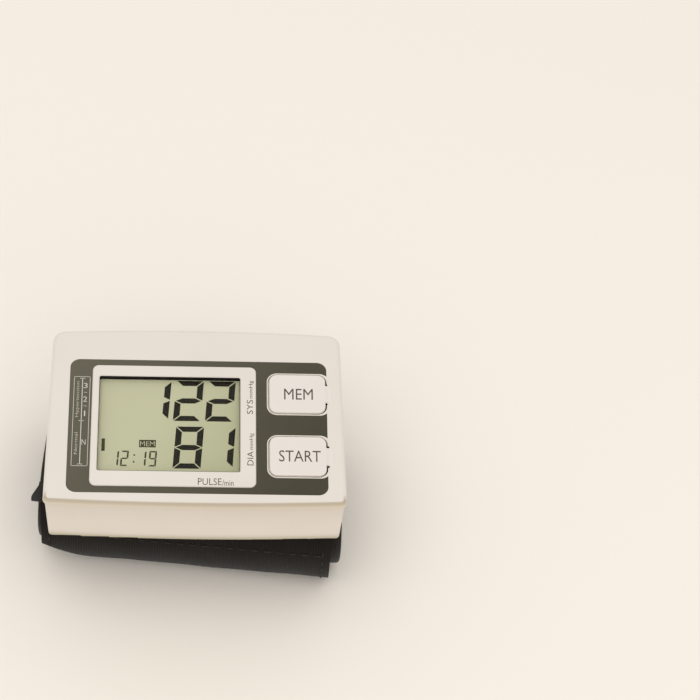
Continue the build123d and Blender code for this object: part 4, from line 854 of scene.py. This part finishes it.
# %% Sweep a strap
def swept_strap(points, left, wide, steps, clip, softness):
    """Close an outline, sweep it along the cuff's axis, clip its left tail corner, soften edges."""
    bm = bmesh.new()
    bmesh.ops.contextual_create(bm, geom=list(chain(bm, points)))
    bmesh.ops.translate(bm, verts=bm.verts, vec=(left, 0, 0))
    go_straight(bm, bm.edges[:], (wide, 0, 0), steps)
    if clip:
        along, up = clip
        cut_off(bm, Vector((left, 0, TABLE - 0.4 + up)), Vector((-up, 0, -along)).normalized())
    bmesh.ops.holes_fill(bm, edges=[e for e in bm.edges if e.is_boundary], sides=0)
    bmesh.ops.recalc_face_normals(bm, faces=bm.faces)
    sharp = [e for e in bm.edges if e.calc_face_angle(0) > radians(48)]
    shape = {"segments": 3, "profile": 0.5, "material": -1, "clamp_overlap": True}
    bmesh.ops.bevel(bm, geom=sharp, affect="EDGES", offset=softness, **shape)
    return bm


def crease(made, angle=50):
    """Smooth shading that keeps edges sharper than an angle."""
    made.data.shade_smooth()
    made.data.set_sharp_from_angle(angle=radians(angle))


print("ring bars", round((front_bar - rear_bar).length, 2), "mm apart")

# %% [markdown]
# ## Leaf and band
# The strap crosses two joints: the ring swings on its sleeve, and the flap peels open. One mesh
# can blend between two bodies only, so it is made in two lengths, the leaf from the cuff to the
# ring and the band from the ring to the flap. The band gets slow waves about a tenth of a
# millimetre high on its free front, because pulled cloth is never quite even.

# %% Leaf from the cuff to the ring
under = [(100, 12.8), (90, 12.8), (80, 12.8), (72, 12.85), (66, 13.1), (60, 13.6), (54, 14.1), (49, 14.4)]
leaf_outline = [on_bend(a, r) for a, r in under] + [on_bend(a, r + 0.75) for a, r in reversed(under)]
leaf = swept_strap(leaf_outline, STRAP_LEFT + 0.2, STRAP_WIDE - 0.4, 37, None, 0.25)
lay_uv(leaf)
strap_leaf = piece("strap_leaf", leaf, strap_cloth, None, in_cuff)
crease(strap_leaf)
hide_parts("closure_strap")
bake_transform(strap_leaf)
print("leaf made")

# %% Band from the ring to the flap
outside = [on_bend(a, 17.3) for a in range(150, 50, -4)]
inside = [on_bend(a, 15.45) for a in range(51, 147, 4)]
band_outline = outside + round_bar(1.85, 0, 195, 10) + round_bar(1.1, 195, 0, 8) + inside
band = swept_strap(band_outline, STRAP_LEFT, STRAP_WIDE, 37, (18.0, 12.5), 0.35)
for v in band.verts:
    y, z = v.co.y + FLAT, v.co.z
    radius, angle = (y * y + z * z) ** 0.5, degrees(atan2(-y, z))
    if radius > 16.6 and angle > 72 and z > TABLE + 0.6:
        swell = 0.06 * sin(v.co.x * 0.17 + angle * 0.05) + 0.04 * sin(v.co.x * 0.43 - angle * 0.11) + 0.04
        swell *= min(1.0, (angle - 72) / 10)
        v.co.y += y / radius * swell
        v.co.z += z / radius * swell
lay_uv(band)
strap_band = piece("strap_band", band, strap_cloth, None, in_cuff)
crease(strap_band)
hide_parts("strap_fold", "strap_tail")
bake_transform(strap_band)
print("band made")

# %% [markdown]
# ## Hook tape
# The hook tape is a strip of stiff nylon covered in rows of tiny hooks, glued and sewn inside the
# flap. Modelled one by one the hooks would be thousands of pieces too small to see, so they are
# cells 0.8 mm apart, raised in the middle, on a strip of the right thickness.

# %% Hook tape
HOOK_MM = 0.8
hook_nylon = new_material("nylon_hook_tape_black", 0.5, Specular_IOR_Level=0.45)
flat = add(hook_nylon, "ShaderNodeUVMap", {"uv_map": "cloth"}).outputs["UV"]
cells = add(hook_nylon, "ShaderNodeTexVoronoi", Vector=flat, Scale=100 / HOOK_MM, Randomness=0.15)
away = cells.outputs["Distance"]
raised = add(hook_nylon, "ShaderNodeMath", {"operation": "SUBTRACT"}, _0=1.0, _1=away).outputs[0]
dress(hook_nylon, "3a3833", "181715", away, (0.1, 0.6), raised, 0.3)
hook_outline = [on_bend(a, 15.38) for a in range(140, 72, -4)] + [on_bend(a, 13.9) for a in range(73, 141, 4)]
hooks = swept_strap(hook_outline, STRAP_LEFT + 6, STRAP_WIDE - 12, 31, (24.0, 18.5), 0.15)
lay_uv(hooks)
hook_tape = piece("hook_tape", hooks, hook_nylon, "strap_flap", in_cuff)
crease(hook_tape)
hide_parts("hook_patch")
print("hook tape made")

# %% [markdown]
# ## Ring and sleeve
# The ring is moulded black nylon: two round bars joined at each end by a web with a slanted outer
# edge. Both are drawn flat, in a frame whose Y runs from the rear bar to the front one, and then
# tilted as one. A sleeve of the cover cloth, a tube with a thin wall, holds the rear bar.

# %% Ring
ring_nylon = new_material("moulded_ring_nylon_black", 0.45, Specular_IOR_Level=0.3)
dress(ring_nylon, "131210", "1f1d1b", 2.5, bump=0.4, depth_mm=0.01)
ring_side = front_bar - rear_bar
far = ring_side.length
in_ring = Matrix.Translation(rear_bar) @ Matrix.Rotation(atan2(ring_side.z, ring_side.y), 4, "X")
lie_down = Matrix.Rotation(pi / 2, 4, "Y")
ring = bmesh.new()
for y in (0.0, far):
    made = bmesh.ops.create_cone(ring, cap_ends=True, segments=20, radius1=0.78, radius2=0.78, depth=75.4)
    bmesh.ops.transform(ring, matrix=Matrix.Translation((-1.35, y, 0)) @ lie_down, verts=made["verts"])
for inner, outer_rear, outer_front in ((-37.85, -38.6, -40.6), (36.65, 37.3, 38.2)):
    web = bmesh.new()
    outer = ((outer_rear, -0.7), (outer_front, far - 0.5), (outer_front, far + 0.7))
    corners = ((inner, -0.7), *outer, (inner, far + 0.7))
    made = [bmesh.ops.create_vert(web, co=(*corner, -0.7))["vert"][0] for corner in corners]
    bmesh.ops.contextual_create(web, geom=made)
    thicken(web, 1.4)
    bmesh.ops.bevel(web, geom=web.edges[:], affect="EDGES", offset=0.3, segments=3, profile=0.5, material=-1)
    gather(ring, web)
bmesh.ops.recalc_face_normals(ring, faces=ring.faces)
strap_ring = piece("strap_ring", ring, ring_nylon, "d_ring_strap", in_cuff @ in_ring)
crease(strap_ring)
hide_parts("d_ring")

# %% Sleeve
sleeve = bmesh.new()
made = bmesh.ops.create_circle(sleeve, segments=24, radius=1.35)
stand = Matrix.Translation(rear_bar + Vector((-36.6, 0, 0))) @ lie_down
bmesh.ops.transform(sleeve, matrix=stand, verts=made["verts"])
go_straight(sleeve, sleeve.edges[:], (72, 0, 0), 36)
bmesh.ops.recalc_face_normals(sleeve, faces=sleeve.faces)
lay_uv(sleeve)
give_wall(piece("ring_sleeve", sleeve, cover_cloth, "monitor", in_cuff, True), 0.45, False)
print("ring and sleeve made")

# %% [markdown]
# ## Stitches
# Each stitch is a single bead of thread, 2 mm long, 3 mm from the next and sunk a little into the
# cloth. Every bead is a low sphere stretched to shape, so that hundreds of them stay light. They
# run along each channel, each tape and round the flap.

# %% Sewing
PITCH, BEAD = 3.0, 0.42


def sew(name, stitches, body):
    """Beads of thread at (place, direction, length) in the cuff's frame, as one piece."""
    bm = bmesh.new()
    for place, along, long in stitches:
        made = bmesh.ops.create_uvsphere(bm, u_segments=6, v_segments=4, radius=0.5)
        turned = along.to_track_quat("Z", "Y").to_matrix().to_4x4()
        shape = Matrix.Translation(place) @ turned @ Matrix.Diagonal((BEAD, BEAD, long, 1))
        bmesh.ops.transform(bm, matrix=shape, verts=made["verts"])
    print(name, len(stitches), "stitches")
    piece(name, bm, thread, body, in_cuff, True)


def loop_rows(distances, radius, first, last):
    """Stitches that run round the loop at distances along the cuff's axis."""
    rows = []
    for x in distances:
        spot = first
        while spot < last:
            bend = FLAT if spot > FLAT else -FLAT
            angle = min((spot - bend) / BEND, pi) if abs(spot) > FLAT else 0
            y = bend + radius * sin(angle) if abs(spot) > FLAT else spot
            place = Vector((x - slant(x, y), y, radius * cos(angle)))
            rows.append((place, Vector((0, cos(angle), -sin(angle))), 2.0))
            spot += PITCH
    return rows


# %% Rows of stitches
rear_end = FLAT + HALF_TURN
sew("channel_stitches", loop_rows((-CHANNEL, CHANNEL), BEND - 0.02, FLAT + 3, rear_end - 6), "monitor")
by_tapes = (-HALF_LONG + 3.3, HALF_LONG - 3.3)
sew("tape_stitches", loop_rows(by_tapes, BEND - 0.06, -FLAT - 0.6 * BEND, rear_end - 2), "monitor")
flap_rows = []
for x, low in ((STRAP_LEFT + 2.0, 98), (STRAP_LEFT + STRAP_WIDE - 2.0, 136)):
    for angle in range(74, low, 10):
        down = (on_bend(angle + 1, 17) - on_bend(angle - 1, 17)).normalized()
        flap_rows.append((on_bend(angle, 17.42) + Vector((x, 0, 0)), down, 2.0))
along_flap = [Vector((STRAP_LEFT + 3.5 + step * 3.2, 0, 0)) for step in range(22)]
flap_rows += [(on_bend(76, 17.42) + spot, AXIS, 2.2) for spot in along_flap]
sew("flap_stitches", flap_rows, "strap_flap")
sew("fold_stitches", [(on_bend(55.5, 17.38) + spot, AXIS, 2.2) for spot in along_flap], "d_ring_strap")

# %% [markdown]
# ## Key necks
# Each key is moulded in one with the case and joined to it by a short thin neck, which bends when
# the key is pressed. The neck is a grid sloped from the key down to the case and given a
# thickness.


# %% Necks
def key_neck(name, key, y):
    """A thin web, 5 mm wide, from the key's right edge to the case."""
    bm = bmesh.new()
    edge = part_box(key)[1][0] / MM
    bmesh.ops.create_grid(bm, x_segments=12, y_segments=6, size=0.5)
    stand = Matrix.Translation((edge + 0.15, y, 47.55)) @ Matrix.Diagonal((2.1, 5.0, 1, 1))
    bmesh.ops.transform(bm, matrix=stand, verts=bm.verts)
    for v in bm.verts:
        v.co.z = 47.74 - 0.42 * ease((v.co.x - edge + 0.5) / 1.3)
    thicken(bm, -0.6)
    made = piece(name, bm, key_abs, None, None)
    crease(made, 40)
    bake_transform(made)
    print(name, "from", round(edge - 0.9, 2), "to", round(edge + 1.2, 2))


key_neck("mem_key_neck", "mem_key", 7.0)
key_neck("start_key_neck", "start_key", -11.9)

# %% [markdown]
# ## Key flanges and painted shade at the window's edge
# A moulded key has a low flange round its foot, which keeps light and dust out of the gap. Two thin
# near-black rings paint the shade at the window's edge, one on the frame's wall above the lens and
# one under the lens's rim; both show as a dark line there. Each is a flat ring: a rounded rectangle
# whose inside is cut out by inset, which keeps the band even round the corners.


# %% Rings of a rounded outline
def rounded_ring(left, right_end, front, rear, corner, band, level, thick):
    """A flat ring: a rounded rectangle with a band cut round its inside, given a thickness."""
    bm = bmesh.new()
    flat_bar(bm, left, front, right_end - left, rear - front)
    shape = {"segments": 8, "profile": 0.5, "material": -1}
    bmesh.ops.bevel(bm, geom=bm.verts[:], affect="VERTICES", offset=corner, **shape)
    inner = bm.faces[:]
    bmesh.ops.inset_region(bm, faces=inner, thickness=band, use_even_offset=True, use_boundary=True)
    bmesh.ops.delete(bm, geom=inner, context="FACES")
    thicken(bm, thick)
    bmesh.ops.translate(bm, verts=bm.verts, vec=(0, 0, level))
    return bm


key_boxes = {key: [Vector(corner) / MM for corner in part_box(key)] for key in ("mem_key", "start_key")}
for (key, (low, high)), body in zip(key_boxes.items(), ("memory_key", "start_stop_key")):
    flange = rounded_ring(low.x - 0.27, high.x - 2.2, low.y - 0.27, high.y + 0.27, 2.4, 0.6, 46.4, 0.25)
    piece(key + "_flange", flange, key_abs, body, None)

# %% Painted shade rings at the window
# Painted shade: a near-black ring lines the frame's wall above the lens, where the window's edge lies in
# shade.
window_shade_lining_dark = moulded("window_edge_painted_shade_dark", "2a2620", "1d1a15", 0.8, 0.3, 0.03, 0.2)
shade_lining = rounded_ring(-24.42, 11.02, -16.87, 11.67, 0.48, 0.1, 46.92, 0.5)
piece("window_edge_painted_shade_lining", shade_lining, window_shade_lining_dark, "monitor", None)
# Painted shade: a near-black ring under the lens's rim darkens the ledge below the lens.
lens_rim_shade_ink = patchy("lens_rim_painted_shade_dark", "1d1a15", "25211b", 0.6, 0.2, 1.5)
mask = rounded_ring(-25.27, 11.87, -17.72, 12.52, 0.9, 0.87, 46.104, 0.01)
piece("lens_rim_painted_shade_ring", mask, lens_rim_shade_ink, "monitor", None)
print("flanges, gasket and border made")

# %% [markdown]
# ## Ends of the key slots
# The slot round a key ends in a small round hole each side of the neck, which stops the plastic
# from tearing there. It is too narrow to let light back out, so each is a thin near-black disc.

# %% Slot ends
hole_shade = patchy("slot_end_hole_shade", "0d0b09", "17130f", 0.9, 0.05, 0.5)
disc = {"cap_ends": True, "segments": 24, "radius1": 0.27, "radius2": 0.27, "depth": 0.04}
holes = bmesh.new()
for (low, high), out in zip(key_boxes.values(), (0.05, 0.3)):
    for side in (-2.95, 2.95):
        spot = Matrix.Translation((high.x + out, (low.y + high.y) / 2 + side, 47.31))
        bmesh.ops.create_cone(holes, matrix=spot, **disc)
piece("slot_end_holes", holes, hole_shade, "monitor", None)
print("slot ends made")

# %% [markdown]
# ## Inner plastics, rubbers and wires
# The working parts show only when the case is open, but each still gets the finish of its real
# material. Engineering plastics keep the sheen of the polished mould: black PBT for the valve and
# buzzer, natural nylon for the pump, white acetal for what slides. Rubber parts are matt, and
# silicone tube is cloudy and lets some light through.

# %% Inner plastics
for name, light, dark, roughness, grain_mm, depth_mm, specular, *nodes in (
    ("abs_saddle_black", "2a2825", "22201e", 0.5, 0.4, 0.015, 0.4, "cuff_saddle"),
    ("abs_tray_white", "e4e1d8", "dcd8cd", 0.45, 0.5, 0.01, 0.4, "lcd_tray"),
    ("epoxy_chip_black", "232325", "1b1b1c", 0.55, 0.15, 0.01, 0.4, "processor_chip"),
    ("pbt_black_satin", "2b2b2d", "222224", 0.4, 0.5, 0.008, 0.4,
     "buzzer", "exhaust_valve", "pressure_sensor"),
    ("nylon_natural", "dcd5c0", "d2cab2", 0.4, 0.6, 0.008, 0.4, "pump_head", "motor_cap", "air_manifold"),
    ("pbt_cradle_grey", "8d8c88", "82817d", 0.5, 0.5, 0.01, 0.4, "pump_cradle"),
    ("acetal_white", "ecebe6", "e3e2dc", 0.3, 0.6, 0.004, 0.5, "pump_crank", "mem_plunger", "start_plunger"),
    ("polypropylene_sheet_natural", "cfcdc6", "c4c2ba", 0.45, 0.8, 0.01, 0.4, "spring_shell"),
    ("epdm_rubber_black", "2c2b2a", "242322", 0.8, 0.3, 0.02, 0.25, "pump_diaphragm"),
    ("pvc_lead_red", "9e2b26", "8f2420", 0.4, 1.5, 0.005, 0.4, "battery_leads"),
    ("pvc_lead_dark_blue", "2b3a5c", "243150", 0.4, 1.5, 0.005, 0.4, "motor_leads"),
):
    finish(moulded(name, light, dark, roughness, grain_mm, depth_mm, specular), *nodes)

# %% Soft plastics
silicone = new_material("silicone_tube_cloudy", 0.35, Transmission_Weight=0.35, IOR=1.41)
dress(silicone, "d5d3cb", "c7c5bc", 4.0, bump=0.5, depth_mm=0.01)
finish(silicone, "pump_tube", "valve_tube", "sensor_tube")
urethane = new_material("urethane_bladder_smoke", 0.4, Transmission_Weight=0.25, IOR=1.5)
dress(urethane, "8e9296", "7b8085", 7.0, bump=1.2, depth_mm=0.05)
finish(urethane, "cuff_bladder", "bladder_port")

# %% [markdown]
# ## Metals
# Drawn steel keeps fine lines along the way it was drawn, and zinc plate breaks up into faint
# patches. The lines are noise stretched along one axis. Metals keep the default IOR.

# %% Metals
EVEN, ALONG_X, ALONG_YZ = (1, 1, 1), (0.1, 1, 1), (1, 0.1, 0.1)
for name, light, dark, roughness, size_mm, drawn, *nodes in (
    ("zinc_plated_screw_steel", "c3c6c8", "a3a6aa", 0.32, 0.8, EVEN,
     "case_screws", "board_screws", "saddle_screws"),
    ("nickel_plated_spring_steel", "c9c5bb", "aca79b", 0.28, 1.5, EVEN,
     "link_contact", "positive_contact", "negative_contact"),
    ("deep_drawn_motor_steel", "b9bcbe", "9a9da1", 0.35, 3.0, ALONG_X, "motor_can"),
    ("ground_shaft_steel", "c8cacc", "b0b3b6", 0.2, 0.6, ALONG_YZ, "motor_shaft", "valve_plunger"),
    ("enamelled_copper_winding", "b06a3a", "8c4c25", 0.35, 0.5, ALONG_X, "motor_rotor"),
    ("tinned_switch_shell", "bfc1c0", "a5a8a8", 0.38, 1.0, EVEN, "mem_switch", "start_switch"),
):
    metal = new_material(name, roughness, Metallic=1.0)
    place = add(metal, "ShaderNodeTexCoord").outputs["Object"]
    place = add(metal, "ShaderNodeMapping", Vector=place, Scale=drawn).outputs["Vector"]
    noise = add(metal, "ShaderNodeTexNoise", Vector=place, Scale=1 / (size_mm * MM), Detail=3.0)
    lines, gloss = noise.outputs["Fac"], (roughness - 0.06, roughness + 0.1)
    finish(dress(metal, dark, light, lines, bump=lines, depth_mm=0.006, gloss=gloss), *nodes)

# %% [markdown]
# ## Board and elastomer strip
# The board is glass-epoxy laminate under green solder mask, with the faint raised lines of its
# copper tracks: the joints of a brick pattern whose rows are a quarter unit high, so 260 to the
# metre gives tracks 1 mm apart. The elastomer strip that joins it to the glass has carbon layers
# about 0.3 mm apart, drawn at 0.5 mm so that they show.

# %% Board and strip
board = new_material("fr4_green_solder_mask", 0.35, Specular_IOR_Level=0.5)
place = add(board, "ShaderNodeTexCoord").outputs["Object"]
tracks = add(board, "ShaderNodeTexBrick", {"offset": 0.5}, Vector=place, Scale=260.0, Mortar_Size=0.06)
joints = tracks.outputs["Fac"]
finish(dress(board, "23492f", "2f5f3c", joints, (0.1, 0.9), joints, 0.035), "main_board")
for name, dark, light, roughness, pitch_mm, span, part in (
    ("ceramic_and_tinned_ends", "5f4a3a", "b9b8b3", 0.45, 2.2, (0.6, 0.75), "board_components"),
    ("carbon_silicone_strip", "262626", "c7a6a0", 0.75, 0.5, (0.4, 0.6), "contact_strip"),
):
    layered = new_material(name, roughness)
    place = add(layered, "ShaderNodeTexCoord").outputs["Object"]
    layers = add(layered, "ShaderNodeTexWave", Vector=place, Scale=WAVE / pitch_mm * 1000, Distortion=0.0)
    finish(dress(layered, dark, light, layers.outputs["Fac"], span), part)

# %% [markdown]
# ## Cells
# The cells are steel cans in a plain printed sleeve, bare at both ends. One mask, the distance
# from the middle of the cell, sets both the colour and which part is metal, so their edges agree.

# %% Cells
BARE_END = 2.4
sleeve_print = new_material("cell_sleeve_grey_blue", 0.3, Specular_IOR_Level=0.5, Coat_Weight=0.3)
place = add(sleeve_print, "ShaderNodeTexCoord").outputs["Object"]
mask = add(sleeve_print, "ShaderNodeSeparateXYZ", Vector=place).outputs["X"]
low, high = (corner[0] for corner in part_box("battery_cell_1"))
edge = (high - low) / 2 - BARE_END * MM
for operation, value in (("SUBTRACT", (low + high) / 2), ("ABSOLUTE", 0.0), ("GREATER_THAN", edge)):
    mask = add(sleeve_print, "ShaderNodeMath", {"operation": operation}, _0=mask, _1=value).outputs[0]
dress(sleeve_print, "4d6478", "b8bbbc", mask, (0.4, 0.6), 3.0, 0.01)
feed(sleeve_print, "Metallic", mask)
finish(sleeve_print, "battery_cell_1", "battery_cell_2")
